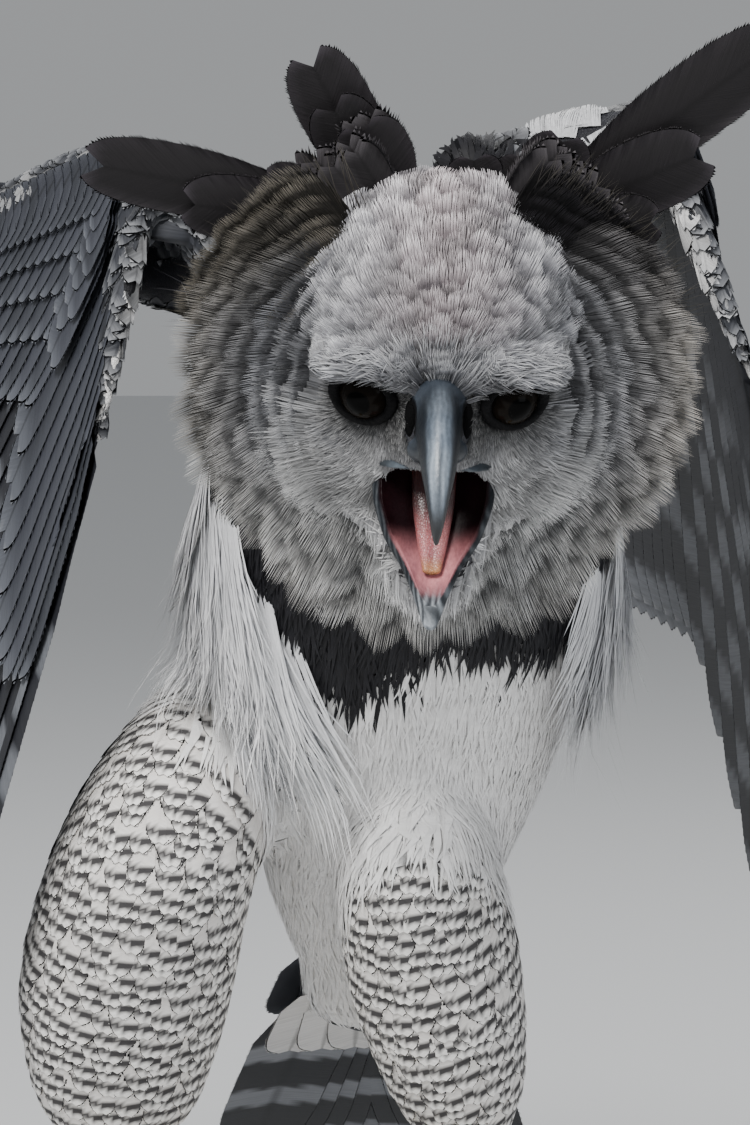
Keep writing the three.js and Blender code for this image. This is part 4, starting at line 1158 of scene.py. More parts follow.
foot_finish = hide_finish("scaled skin", 0xC9A227, 420.0, 0.8, Roughness=0.55, Specular_IOR_Level=0.4)
claw_finish = horn_finish("claw horn", 0x0B0B0D, 0x1C1B1E, 90.0, (1, 1, 0.4), Specular_IOR_Level=0.6,
                          Coat_Weight=0.3, Coat_Roughness=0.12)
for side, sign in (("right", 1), ("left", -1)):
    leg = LEGS[side]
    dress(new_piece("scutes_" + side, *in_place(shank_part(leg))), foot_finish, "leg_skin", "shank_" + side)
    ball = egg_mesh(np.array([leg["foot"][0], leg["foot"][1], 17.0]), (17, 17, 16))
    toes = [in_place(toe_part(leg, sign, toe)) for toe in TOES]
    foot = new_piece("toes_" + side, *joined([in_place(ball), *toes]))
    dress(foot, foot_finish, "leg_skin", "foot_" + side)
    for toe in TOES:
        talon = new_piece(f"talon_{toe}_{side}", *in_place(claw_part(leg, sign, toe)))
        dress(talon, claw_finish, "horn", f"claw_{toe}_{side}")
print("legs done")

# %% [markdown]
# Now the plumage. Sites are laid in staggered rows on a simple surface near the skin and
# then moved onto it. On the head the rows are rings round the bill, so that the feathers
# fan out from it over brow, cheek and crown, as they do on the living bird.


# %% Sites and colours
def sites_of(root, way, out, length, half, uv, **more):
    """Site arrays with their defaults: heights, cup and sway in millimetres and shares."""
    n = len(root)
    out = unit(out)
    way = unit(way - out * (way * out).sum(-1, keepdims=True))
    sites = {"root": root, "way": way, "out": out, "uv": uv}
    numbers = {"length": length, "half": half, "low": 0.3, "high": 3.0, "cup": 0.8, "sway": 0.0, **more}
    for name, value in numbers.items():
        toned = name.startswith("tone")
        sites[name] = np.broadcast_to(colour_of(value) if toned else value, (n, 3) if toned else (n,))
    return sites


def toned(tone, share):
    """From a feather's own tone to its tip tone by a share."""
    return mixed(tone["tone"], tone["tone_tip"], share)


def soft_tone(tone, x, s, r):
    """The feather's own tone, darker at the root as painted shade of the feathers over it, and turning to
    its tip tone near the end.
    """
    shown = toned(tone, smoothstep(0.4, 0.95, x))
    return shown * ((0.6 + 0.4 * smoothstep(0.0, 0.6, x)) * (0.72 + 0.5 * r))[..., None]


def lobe_tone(tone, x, s, r):
    """A round soft feather: dark at the root as painted shade of the lobes over it, darker at the sides,
    pale towards its rim.
    """
    rim = smoothstep(0.45, 0.95, x + 0.15 * s**2)
    side = 1 - 0.4 * smoothstep(0.55, 1.0, s)
    gain = side * (0.36 + 0.7 * rim) * (0.82 + 0.4 * r)
    return toned(tone, rim) * gain[..., None]


def down_tone(tone, x, s, r):
    """White down: nearly one tone, a little brighter at the tips, with faint painted shade at the root."""
    shown = toned(tone, smoothstep(0.5, 0.95, x))
    return shown * ((0.86 + 0.14 * smoothstep(0.0, 0.5, x)) * (0.93 + 0.12 * r))[..., None]


def rimmed_tone(tone, x, s, r):
    """The tip tone at the tip and, less strongly, along both edges, and darker at the root as painted
    shade.
    """
    rim = np.maximum(smoothstep(0.75, 0.98, x), 0.7 * smoothstep(0.7, 1.0, s))
    shown = toned(tone, rim)
    return shown * ((0.7 + 0.3 * smoothstep(0.0, 0.5, x)) * (0.9 + 0.2 * r))[..., None]


def barred_tone(tone, x, s, r):
    """White with one short black bar across, bent like a bow, short of both edges."""
    middle_of_bar = 0.82 + 0.02 * np.cos(5.2 * s) - 0.02 * s**2
    bar = smoothstep(0.085, 0.06, np.abs(x - middle_of_bar)) * smoothstep(1.05, 0.9, s)
    white = down_tone(tone, x, s, r)
    return mixed(white, 0x1E1C20, bar * 0.95)


def head_ray(theta, phi):
    """From the middle of the head: theta from the bill to the nape, phi round the bill."""
    across = np.sin(theta)
    return np.stack([across * np.cos(phi), -np.cos(theta) + 0 * phi, across * np.sin(phi)], -1)


HEAD_MIDDLE = np.array([0, 24, 0])


def head_surface(theta, phi):
    """A ball of radius 76 round the middle of the head, on which the rows are laid out."""
    return place_head(HEAD_MIDDLE + 76 * head_ray(theta, phi))


def onto_head(theta, phi):
    """Walks inwards along each ray until it meets the skin."""
    way = head_way(head_ray(theta, phi))
    p = place_head(HEAD_MIDDLE + 120 * head_ray(theta, phi))
    for _ in range(30):
        gap, out = read_field(HEAD_FIELD, p)
        p = p - way * (0.8 * np.clip(gap, -0.01, 0.02))[:, None]
    return p, read_field(HEAD_FIELD, p)[1]


def in_mouth(local, grow=2.0):
    """Whether points of the head's frame are in the space between the jaws."""
    x, y, z = local.T
    rows = np.array(MOUTH_ROWS, float)[::-1]
    w, low, high = [np.interp(y, rows[:, 0], rows[:, k]) for k in (1, 2, 3)]
    from_middle = (z - (low + high) / 2) / ((high - low) / 2 + grow)
    across = (x / (w + grow)) ** 2 + from_middle**2
    return (across < 1) & (y < 17 + grow)


def head_sites(first, last, spacing):
    """Sites round the bill that are free of eyes, mouth and bill. They point away from the bill,
    round the eyes, down beside the upper lip and down behind the head."""
    theta, phi = staggered(head_surface, first, last, spacing)
    root, out = onto_head(theta, phi)
    local = to_head(root)
    x, y, z = local.T
    from_eye = local - EYE_AT * np.stack([np.sign(x), np.ones(len(x)), np.ones(len(x))], -1)
    gap = norm(from_eye * [0.95, 0.8, 1.1], axis=1)
    away = np.stack([np.cos(theta) * np.cos(phi), np.sin(theta), np.cos(theta) * np.sin(phi)], -1)
    away = away + 1.6 * np.exp(-(((gap - 12) / 14) ** 2))[:, None] * unit(from_eye)
    over_lip = smoothstep(31, 24, np.abs(x)) * smoothstep(0, -9, z)
    over_lip = over_lip * smoothstep(-24, -16, z)
    away = away + (smoothstep(1.7, 2.4, theta) * 1.5 + 1.3 * over_lip)[:, None] * [0, 0.2, -1]
    bill_gap = norm(local[:, [0, 2]] / (1, 1.15) - (0, 2), axis=1)
    free = (gap > 13.5) & ~in_mouth(local, np.interp(z, [-46, -36], [1.9, 2.5]))
    free &= ~((y < -16) & (bill_gap < 14.5)) & (y > -38)
    free &= np.abs(root - near_head).max(axis=1) < HEAD_REACH - 0.005
    free &= np.abs(read_field(HEAD_FIELD, root)[0]) < 0.002
    uv = 0.5 + (theta / 6.6)[:, None] * np.stack([np.cos(phi), np.sin(phi)], -1)
    return [v[free] for v in (local, root, head_way(away), out, theta, phi, gap, uv)]


# %% Crown and back of the head
dome_forms = several(vane_form, 5, 9, (0.72,), rounded(0.42, 0.6, 2.6), 1.1, 0.34, 0.2)
short_tufts = several(tuft_form, 6, 7, 2, 0.13, 2.3)
down_lobes = several(tuft_form, 6, 23, 3, 0.05, 1.25, seed=300, even=0.9, wild=0.1, round_off=0.5)
NAPE, NAPE_TIP = linear(0x3A3A40), linear(0x5E5F65)


def above_brows(local, brow_line):
    """Spots over the brows, whose line rises to the sides, or behind the head."""
    x, y, z = local.T
    return (z > brow_line + 0.1 * np.abs(x)) | (y > 46)


def crown_shares(loc):
    """How much of a spot belongs to the dark nape, and how much to the pinkish middle of the crown."""
    x, y, z = loc.T
    back = smoothstep(38, 60, y)
    pink = np.exp(-((x / 26) ** 2)) * smoothstep(20, 40, z) * (1 - back)
    return back, 0.7 * pink


local, root, way, out, theta, phi, gap, uv = head_sites(
    0.3, 2.95, lambda t: np.interp(t, [0.5, 1.0, 1.6, 2.9], [4.4, 6.2, 8.6, 11.0]))
on_crown = above_brows(local, 18)
t, loc = theta[on_crown], local[on_crown]
back, pink = crown_shares(loc)
tone = mixed(mixed(0x8F9097, 0x9C8B8E, pink), NAPE, back)
tone_tip = mixed(mixed(0xBDBEC4, 0xC4B7B8, pink), NAPE_TIP, back)
length = np.interp(t, [0.3, 0.9, 1.4, 2.0, 3.0], [9, 17, 26, 30, 36]) * rng.uniform(0.9, 1.15, len(t))
half = length * np.interp(t, [0.4, 1.2, 3], [0.2, 0.33, 0.36])
crown = grow_feathers(
    sites_of(root[on_crown], way[on_crown], out[on_crown], length, half, uv[on_crown], low=0.2,
             high=np.interp(t, [0.5, 1.4], [0.8, 1.3]), cup=0.3, sway=rng.normal(0, 0.1, len(t)),
             tone=tone, tone_tip=tone_tip),
    dome_forms, rimmed_tone, HEAD_FIELD)
fine_down = []
for layer in range(2):
    local, root, way, out, theta, phi, gap, uv = head_sites(
        0.28, 2.3, lambda t: np.interp(t, [0.3, 1.0, 2.3], [3.4, 5.8, 8.6]))
    kept_share = np.interp(theta, [1.3, 1.9], [1.0, 0.6])
    keep = above_brows(local, 20) & (rng.uniform(0, 1, len(theta)) < kept_share)
    loc, t = local[keep], theta[keep]
    x, y, z = loc.T
    back, pink = crown_shares(loc)
    streak = rng.uniform(0, 1, len(t)) ** 2
    tone = mixed(mixed(0x7E7F85, 0x8E7E81, pink), NAPE, back)
    tone = mixed(tone, 0x444348, 0.7 * streak)
    tone_tip = mixed(mixed(0xCDCED2, 0xCDC0C1, pink), NAPE_TIP, back)
    lump = np.sin(0.31 * x + 1.7 * np.sin(0.17 * y + 0.21 * z))
    lump = lump * np.sin(0.27 * z + 0.24 * y + 1.1 * np.sin(0.2 * x))
    near_bill = smoothstep(0.85, 0.45, t) * (0.4 + 0.6 * (np.sin(9 * phi[keep]) > 0))
    # The tone follows the lumps, paler where they rise and darker in the hollows between them as painted
    # light and shade, and darker low on the crown.
    tone, tone_tip = [v * (1 + 0.55 * lump + gain * near_bill - 0.2 * smoothstep(38, 26, z))[:, None]
                      for v, gain in ((tone, -0.1), (tone_tip, 0.4))]
    length = np.interp(t, [0.3, 0.9, 1.4, 2.3], [9, 15, 19, 24]) * rng.uniform(0.8, 1.2, len(t))
    high = np.interp(t, [0.4, 1.4], [2.0, 3.2]) + 0.4 * layer + 4.2 * np.maximum(lump, 0)
    fine_down.append(grow_feathers(
        sites_of(root[keep], way[keep], out[keep], length, length * 0.36, uv[keep], low=0.4, high=high,
                 cup=0.0, sway=rng.normal(0, 0.08, len(t)), tone=tone, tone_tip=tone_tip),
        down_lobes, lobe_tone, HEAD_FIELD))
feather_soft = feather_finish("soft grey feathers", 0.34, 0.12, 1.4)
feather_lined = feather_finish("lined grey feathers", 0.24, 0.5, 1.4)
coat("crown", crown, feather_lined, "grey_down")
coat("crown_down", fine_down, feather_soft, "grey_down")

# %% Face
local, root, way, out, theta, phi, gap, uv = head_sites(
    0.25, 2.0, lambda t: np.interp(t, [0.3, 0.8, 1.3, 2.0], [1.9, 2.6, 3.4, 4.2]))
x, y, z = local.T
on_face = (z < 21 + 0.1 * np.abs(x)) & (y < 52)
loc, t = local[on_face], theta[on_face]
near_eye = np.exp(-((gap[on_face] - 11) / 11) ** 2)


def cheek_tone(at):
    """Grey at the eyes, in soft clumps whose light and dark is partly the feathers' own and partly painted
    shade between them, pale on the lower cheeks, and darker beside the mouth as painted shade in its
    corners.
    """
    x, _, z = at.T
    low_down = smoothstep(-10, -48, z)
    clumps = 0.5 + 0.5 * np.sin(0.23 * x + 2.1 * np.sin(0.11 * z)) * np.sin(0.19 * z + 1.3)
    pale = mixed(0x727378, 0xD2D2D2, 0.92 * low_down + 0.45 * (1 - low_down) * clumps)
    # Beside the mouth the tone is painted dark, as shade in the mouth's corners.
    beside = np.exp(-(((np.abs(x) - 35) / 15) ** 2 + ((z + 38) / 19) ** 2))
    return pale * (1 - 0.7 * beside)[:, None]


# Round each eye the tone goes nearly black: painted shade in the hollow under the brow.
tone = mixed(cheek_tone(loc), 0x101012, 0.94 * near_eye)
wisp = rng.uniform(0, 1, len(t)) ** 3 * (1 - near_eye)
lores = smoothstep(25, 17, np.abs(loc[:, 0])) * smoothstep(-20, -8, loc[:, 2])
lores = lores * smoothstep(-2, -14, loc[:, 1])
tone = tone * ((0.5 + 1.1 * wisp) * (1 - 0.72 * lores))[:, None]
length = np.interp(t, [0.3, 0.8, 1.2, 1.6, 2.0], [6, 13, 24, 36, 36]) * rng.uniform(0.75, 1.25, len(t))
length = length * (1 - 0.55 * near_eye)
high = np.interp(t, [0.4, 0.9, 1.25, 1.7], [1.6, 3.0, 6, 10]) * rng.uniform(0.6, 1.2, len(t))
face = grow_feathers(
    sites_of(root[on_face], way[on_face], out[on_face], length, length * 0.22, uv[on_face], low=0.1,
             high=high, cup=0.2, sway=rng.normal(0, 0.06, len(t)), tone=tone,
             tone_tip=mixed(tone, 0xF0F0F0, 0.35)),
    short_tufts, soft_tone, HEAD_FIELD, hold=lambda x: 1 - 0.75 * x**2)
cheeks = []
wide_forms = several(tuft_form, 6, 13, 3, 0.075, 1.7, seed=10, even=0.75, wild=0.3)
for layer in range(2):
    c_local, c_root, _, _, _, c_phi, _, c_uv = head_sites(0.85, 1.5, lambda t: 5.2 + 0 * t)
    keep = ((np.abs(c_local[:, 0]) > 34) & (c_local[:, 2] < 14)) | (c_local[:, 2] < -60)
    at, ray = c_local[keep], np.stack([np.cos(c_phi), 0 * c_phi, np.sin(c_phi)], -1)[keep]
    reach = norm(at[:, [0, 2]], axis=1)
    length = np.clip((88 - reach) * 1.08, 20, 44) * rng.uniform(0.72, 1.06, len(at))
    tone = cheek_tone(at + 14 * ray)
    pale = (0.1 + 0.32 * smoothstep(-5, -60, at[:, 2]))[:, None]
    tip = tone * (1 - pale) + linear(0xF4F4F4) * pale
    cheeks.append(grow_feathers(
        sites_of(c_root[keep], head_way(ray + [0, 0.24, 0]), head_way(0.6 * ray - [0, 1, 0]), length,
                 length * 0.17, c_uv[keep], low=-1.0, high=rng.uniform(1, 6, len(at)), cup=0.0,
                 sway=rng.normal(0, 0.07, len(at)), tone=tone * rng.uniform(0.35, 0.9, (len(at), 1)),
                 tone_tip=tip * rng.uniform(0.55, 1.2, (len(at), 1))),
        wide_forms, soft_tone))
coat("face", [face, *cheeks], feather_soft, "grey_down")

# %% Brows and chin fringe
wide = np.abs(x)
on_brow = (np.abs(z - 24 - 0.1 * wide) < 8) & (wide > 7) & (wide < 55) & (y < 14)
on_brow &= rng.uniform(0, 1, len(local)) < 0.5


def head_tufts(root, way, out, uv, length, slim, high, sway, tone, tip, hold, low):
    """Loose tufts on the head. A height, tone or tip given as a tuple is drawn for each tuft: between
    two heights, or the colour times a number between the two that follow it."""
    count = len(root)
    high = rng.uniform(*high, count) if isinstance(high, tuple) else high
    sway = rng.normal(0, sway, count)
    tone, tip = [linear(c[0]) * rng.uniform(*c[1:], (count, 1)) if isinstance(c, tuple) else c
                 for c in (tone, tip)]
    sites = sites_of(root, head_way(way), out, length, length * slim, uv, low=low, high=high, cup=0.2,
                     sway=sway, tone=tone, tone_tip=tip)
    return grow_feathers(sites, short_tufts, soft_tone, HEAD_FIELD, hold=hold)


loc, count = local[on_brow], on_brow.sum()
aside = np.sign(loc[:, 0]) * rng.uniform(0.4, 1.0, count)
brow_way = np.stack([aside, -0.35 + 0.012 * np.abs(loc[:, 0]), rng.uniform(-0.45, 0.5, count)], -1)
length = rng.uniform(9, 17, count)
brow = head_tufts(root[on_brow], brow_way, out[on_brow], uv[on_brow], length, 0.2, 4.2, 0.08,
                  (0x75767B, 0.5, 1.2), (0xD2D3D6, 0.45, 1.1), 0.75, 0.8)
count = 90
theta, phi = rng.uniform(0.3, 0.66, count), np.radians(rng.uniform(38, 142, count))
fan_root, fan_out = onto_head(theta, phi)
fan_way = np.stack([1.25 * np.cos(phi), 0.3 + 0 * phi, np.sin(phi)], -1)
length = rng.uniform(11, 22, count)
fan_uv = 0.5 + (theta / 6.6)[:, None] * np.stack([np.cos(phi), np.sin(phi)], -1)
fan = head_tufts(fan_root, fan_way, fan_out, fan_uv, length, 0.15, (3.5, 6.5), 0.1,
                 0x5A5B60, (0xEAEAEC, 0.6, 1.05), 0.7, 1.0)
on_chin = (z < -46) & (y < 14)
loc, count = local[on_chin], on_chin.sum()
chin_way = np.stack([0.008 * loc[:, 0], np.full(count, -0.15), np.full(count, -1.0)], -1)
length = rng.uniform(30, 56, count)
chin = head_tufts(root[on_chin], chin_way, out[on_chin] + 1.5 * head_way([0, -1.0, 0]), uv[on_chin],
                  length, 0.13, 4.0, 0.05, 0x9A9A9C, (0xF0F0F0, 0.6, 1.0), 0.35, 0.5)
coat("brow_and_chin", [brow, fan, chin], feather_soft, "grey_down")

# %% [markdown]
# Behind the face stands the disc: rows of combed tufts that frame it like a ruff, grey-brown
# with pale rims. Each row is a ring of feathers whose tips reach a little farther out
# and whose sheet stands a little farther back than the row before.

# %% The disc
disc_forms = several(vane_form, 4, 26, (0.4, 0.8), rounded(0.5, 0.62, 3.0), 1.3, 0.26, 0.12, seed=20)
comb_forms = several(tuft_form, 6, 45, 4, 0.03, 1.12, seed=30, even=0.96, wild=0.03, round_off=0.25)


def comb_tone(tone, x, s, r):
    """A broad comb of barbs: dark at the root as painted shade of the row in front, darker at the sides,
    pale in its rim.
    """
    rim = smoothstep(0.74, 0.97, x + 0.1 * s**2)
    side = 1 - 0.55 * smoothstep(0.5, 1.0, s)
    gain = side * (0.34 + 0.86 * rim) * (0.84 + 0.36 * r)
    return toned(tone, rim) * gain[..., None]


def disc_sites(first, last, count, root_at, tip_at, back, half, tone, tone_tip, slope=0.4):
    """Feathers fanned over an arc of the head's x and z, in degrees, on a cone that leans forward."""
    angle = np.radians(np.linspace(first, last, count) + rng.uniform(-1.4, 1.4, count))
    ray = np.stack([np.cos(angle), np.zeros(count), np.sin(angle)], -1)
    root = ray * root_at + [0, back - slope * (root_at - 60), 0]
    way = ray + [0, -slope, 0]
    facing = -ray * slope - [0, 1, 0]
    low_reach = 1 + 0.3 * smoothstep(-0.7, -1.0, np.sin(angle))
    length = (tip_at - root_at) * math.hypot(1, slope) * rng.uniform(0.95, 1.03, count) * low_reach
    uv = 0.5 + 0.4 * ray[:, [0, 2]] * (root_at / 90)
    return sites_of(place_head(root), head_way(way), head_way(facing), length,
                    half * rng.uniform(0.92, 1.08, count), uv, low=rng.uniform(0, 0.6, count),
                    high=rng.uniform(0.5, 3.0, count), cup=2.0, sway=rng.normal(0, 0.06, count),
                    tone=tone, tone_tip=tone_tip)


DISC_ROWS = [(44, 68, 8.5), (46, 78, 15), (49, 88, 21.5), (53, 97, 27), (59, 106, 31), (65, 113, 34.5),
             (72, 119, 38)]
DISC_HALF = 13.5
DISC_TONES = ((0x7C7D82, 0x6C6965, 0x949596, 0x45413A, 0x343336),
              (0xB4B5B9, 0xC4BFB8, 0xE8E8E6, 0x837C70, 0x6E6C70))


def disc_tone(at, share, near, far, pale, brown, grey):
    """From near to far with the row's share: paler below, brown and grey at the two upper sides."""
    lower = smoothstep(-10, -50, at[:, 2]) * (1 - 0.4 * share)
    tone = mixed(np.tile(mixed(near, far, share), (len(at), 1)), pale, lower)
    for sign, top in ((-1, brown), (1, grey)):
        on_side = smoothstep(12, 42, at[:, 2]) * smoothstep(0, 12, sign * at[:, 0])
        tone = mixed(tone, top, 0.8 * on_side * min(1, 0.4 + share))
    return tone


disc = []
for k, (root_at, tip_at, back) in enumerate(DISC_ROWS):
    share = max(0, k - 2) / (len(DISC_ROWS) - 3)
    step = 1080 / tip_at
    for layer in range(2):
        sites = disc_sites(138 + layer * step / 2, 402 - layer * step / 2, int(264 / step), root_at,
                           tip_at - 4 + 4 * layer, back + 0.7 - 1.4 * layer, DISC_HALF, 0, 0)
        at = to_head(sites["root"])
        own = rng.uniform(0.5, 1.25, len(at))[:, None]
        sites["tone"], sites["tone_tip"] = [disc_tone(at, share, *tones) * own for tones in DISC_TONES]
        sites["cup"] = np.full(len(at), 2.4)
        disc.append(grow_feathers(sites, comb_forms, comb_tone))
feather_disc = feather_finish("combed feathers", 0.34, 0.35, 1.1)
coat("disc", disc, feather_disc, "grey_down", "facial_disc")

# %% Corner feathers beside the crown
corners = []
for k in range(7):
    back, tip_at = 20 + 3.4 * k, 74 + 7.5 * k
    olive = mixed(0x605C56, 0x3B3833, k / 6)
    dark = mixed(0x4A494E, 0x161518, min(1, k / 3))
    rim = mixed(0x7C7B80, 0x2E2C30, min(1, k / 3))
    for layer in range(2):
        sites = disc_sites(128 + 3.5 * layer, 164, 5, tip_at - 32, tip_at + 2 - layer, back - 1.2 * layer,
                           12.5, olive, linear(0x9A9387), 0.2)
        corners.append(grow_feathers(sites, comb_forms, comb_tone))
    for layer in range(2):
        sites = disc_sites(20 + 3.5 * layer, 60, 5, tip_at - 36, tip_at - 4 - layer, back + 1 - 1.2 * layer,
                           13.0, dark, rim, 0.2)
        corners.append(grow_feathers(sites, comb_forms, comb_tone))
loose_hairs = several(tuft_form, 4, 5, 4, 0.018, 2.2, seed=140, wild=0.8)
for first, last, dark in ((118, 168, 0x3A3631), (16, 66, 0x1C1A1C)):
    sites = disc_sites(first, last, 26, 72, 126, 34, 12, linear(dark), linear(0x5A564F), 0.1)
    corners.append(grow_feathers(sites, loose_hairs, soft_tone))
coat("corners", corners, feather_disc, "grey_down")

# %% [markdown]
# The crest is what names this eagle: long dark feathers raised behind the crown and spread
# to both sides. Each has the root, tip and width of the part's own, as a fine web, and
# shorter ones fill in between them.

# %% The crest
CREST = [
    ((-50, 56, 62), (-158, 66, 75), 17), ((-46, 52, 58), (-114, 57, 61), 16),
    ((-40, 53, 56), (-80, 61, 73), 14), ((-22, 70, 54), (-64, 80, 124), 18),
    ((-20, 62, 56), (-53, 71, 106), 17), ((-18, 55, 60), (-39, 62, 101), 18),
    ((15, 54, 62), (11, 63, 88), 13), ((30, 55, 60), (33, 62, 89), 13), ((40, 60, 56), (50, 69, 97), 16),
    ((42, 72, 50), (145, 84, 143), 19), ((44, 65, 54), (113, 75, 90), 19), ((46, 55, 54), (94, 60, 62), 14),
]
crest_tip = rounded(0.28, 0.62, 2.7)
crest_forms = several(vane_form, 3, 90, (0.3, 0.62, 0.94), crest_tip, 1.1, 0.2, 0.05, seed=40)
roots = np.array([c[0] for c in CREST], float)
span = np.array([c[1] for c in CREST], float) - roots
count = len(CREST)


def crest_tone(tone, x, s, r):
    """Nearly one dark tone, a little paler at the tip and faintly along the edges."""
    rim = np.maximum(smoothstep(0.9, 1.0, x), 0.4 * smoothstep(0.85, 1.0, s))
    return toned(tone, rim) * (0.8 + 0.4 * r)[..., None]


big = sites_of(place_head(roots), head_way(span), np.tile(head_way([0, -1, 0.15]), (count, 1)),
               norm(span, axis=1), np.array([c[2] for c in CREST]) * 0.98,
               0.5 + roots[:, [0, 2]] / 300, low=0, high=0, cup=3.0, sway=0.02,
               tone=0x171517, tone_tip=0x363237)
count = 56
angle = np.radians(np.concatenate([rng.uniform(26, 62, count // 2), rng.uniform(112, 150, count // 2)]))
base = np.stack([56 * np.cos(angle), rng.uniform(44, 66, count), 20 + 56 * np.sin(angle)], -1)
rise = rng.uniform(0.05, 0.25, count), rng.uniform(0.5, 1.0, count)
spread = np.stack([np.cos(angle) * 1.1, rise[0], np.sin(angle) * rise[1]], -1)
small = sites_of(place_head(base), head_way(spread), np.tile(head_way([0, -1, 0.25]), (count, 1)),
                 rng.uniform(22, 38, count), rng.uniform(9, 13, count), 0.5 + base[:, [0, 2]] / 300,
                 low=0, high=2, cup=2.5, sway=rng.normal(0, 0.06, count),
                 tone=mixed(0x1C1A1C, 0x2C2A2C, rng.uniform(0, 1, count)),
                 tone_tip=0x4A474A)
crest = [grow_feathers(big, crest_forms, crest_tone), grow_feathers(small, disc_forms, rimmed_tone)]
feather_dark = feather_finish("dark feathers", 0.35, 0.3, 1.1, 0.6)
coat("crest", crest, feather_dark, "crest_dark", "crest")

# %% [markdown]
# The body is white below and slate black above, with a black band round the neck. Its
# feathers are rows of broad soft vanes laid on the loft of the body and then on the skin.

# %% The body
COLLAR_X = [-120, -74, -59, -37, -7, 11, 24, 54, 67, 85, 107, 140]
COLLAR_Z = [540, 455, 429, 405, 382, 392, 410, 410, 404, 411, 434, 520]


def collar_share(mm):
    """1 on the black band of neck and upper breast, whose lower edge dips left of the middle."""
    edge = np.interp(mm[:, 0], COLLAR_X, COLLAR_Z)
    return smoothstep(-2.5, 2.5, mm[:, 2] - edge) * smoothstep(-50, -70, mm[:, 1])


def body_tones(points, up_share):
    """The plumage's colour at points of the body: collar, back or breast."""
    tone = mixed(0xE6E5E4, 0x2C2D33, up_share)
    return mixed(tone, 0x18181C, collar_share(to_mm(points)))


def loft_sites(loft, first, last, spacing, turns=(0.0, 2 * math.pi)):
    """Sites on a loft, moved onto the skin where the loft is near it."""
    def surface(q, b):
        return place(loft_point(loft, q, b))

    t, a = staggered(surface, first, last, spacing, turns=turns)
    p = surface(t, a)
    ahead = np.minimum(t + 0.02, 1)
    way = surface(ahead, a) - surface(ahead - 0.02, a)
    gap, out = read_field(BODY_FIELD, p)
    near = (gap > -0.004) & (gap < 0.03)
    p, way, t, a = p[near], way[near], t[near], a[near]
    p = lay(BODY_FIELD, p, 0.0002)
    return p, unit(way), read_field(BODY_FIELD, p)[1], t, a


breast_forms = several(vane_form, 5, 14, (0.6,), rounded(0.5, 0.5, 1.8), 1.4, 0.36, 0.22, seed=60)
root, way, out, t, a = loft_sites(BODY, 0.1, 0.99, lambda t: 10.4 + 0 * t)
head_local = to_head(root)
free = norm((head_local - [0, 30, 0]) / (66, 50, 66), axis=1) > 1
root, way, out, t, a = root[free], way[free], out[free], t[free], a[free]
back_share = smoothstep(-0.05, -0.5, np.sin(a))
tone = body_tones(root, back_share)
black = collar_share(to_mm(root)) > 0.5
length = np.interp(t, [0.1, 0.35, 0.7, 1.0], [32, 40, 44, 48]) * rng.uniform(0.9, 1.15, len(t))
lighter = mixed(tone, np.minimum(tone * 1.4 + 0.01, 0.9), 0.5)
body_sites = sites_of(root, way, out, length, length * 0.36, np.stack([a / (2 * np.pi), t], -1), low=0.3,
                      high=2.0, cup=0.4, sway=rng.normal(0, 0.07, len(t)), tone=tone, tone_tip=lighter)
feather_white = feather_finish("white feathers", 0.16, 0.06, 1.2, 0.8)
down_forms = several(tuft_form, 6, 11, 3, 0.11, 1.9, seed=70)
for name, keep, material, slot, loose_layers in (
        ("neck", black, feather_dark, "black_down", 1),
        ("breast", ~black & (back_share < 0.5), feather_white, "white_down", 2),
        ("back", ~black & (back_share >= 0.5), feather_dark, "slate", 0)):
    sets = [grow_feathers(chosen(body_sites, keep), breast_forms, down_tone, BODY_FIELD)]
    for layer in range(loose_layers):
        loose = chosen(body_sites, keep)
        count = len(loose["root"])
        side = np.cross(loose["way"], loose["out"])
        moved = side * rng.uniform(-5, 5, (count, 1)) + loose["way"] * rng.uniform(-5, 5, (count, 1))
        loose.update(root=loose["root"] + moved * MM, low=np.full(count, 0.6), half=loose["half"] * 0.8,
                     high=rng.uniform(3.0, 4.6, count), sway=rng.normal(0, 0.08, count))
        sets.append(grow_feathers(loose, down_forms, down_tone, BODY_FIELD))
    coat(name, sets, material, slot)

# %% [markdown]
# The thighs wear loose white trousers with a short black bar on each feather. Long silky
# plumes hang from the flank over them.

# %% Thighs and flank
bar_forms = several(vane_form, 4, 18, (0.45, 0.85), rounded(0.6, 0.5, 2.4), 0.5, 0.26, 0.14, seed=80)
for side in ("right", "left"):
    root, way, out, t, a = loft_sites(THIGHS[side], 0.02, 0.99, lambda t: 12.6 + 0 * t)
    length = np.interp(t, [0, 0.3, 1.0], [34, 36, 30]) * rng.uniform(0.97, 1.03, len(t))
    sites = sites_of(root, way, out, length, length * 0.25, np.stack([a / (2 * np.pi), t], -1), low=0.3,
                     high=2.2, cup=0.5, sway=rng.normal(0, 0.07, len(t)), tone=0xDAD6D2,
                     tone_tip=0xEFEDEA)
    thigh = coat_piece("plumage_thigh_" + side, grow_feathers(sites, bar_forms, barred_tone, BODY_FIELD))
    dress(thigh, feather_white, "barred", "thigh_" + side)

plume_forms = several(vane_form, 5, 44, (0.5,), rounded(0.45, 0.4, 1.6), 2.2, 0.14, 0.3, seed=90)
silk_forms = several(tuft_form, 6, 19, 4, 0.05, 1.35, seed=95, even=0.6, wild=0.3, round_off=0.2)
PLUME_CLUMPS = (((-84, -30, 462), (-0.62, -0.12, -1), 60), ((-80, -46, 440), (-0.42, -0.16, -1), 56),
                ((-68, -62, 412), (-0.2, -0.1, -1), 44), ((104, -20, 440), (0.3, -0.1, -1), 36))


def hanging(sites, forms):
    """Plumes whose roots lie on the skin and whose tips hang free of it."""
    return grow_feathers(sites, forms, down_tone, BODY_FIELD, hold=lambda x: 1 - 0.9 * x)


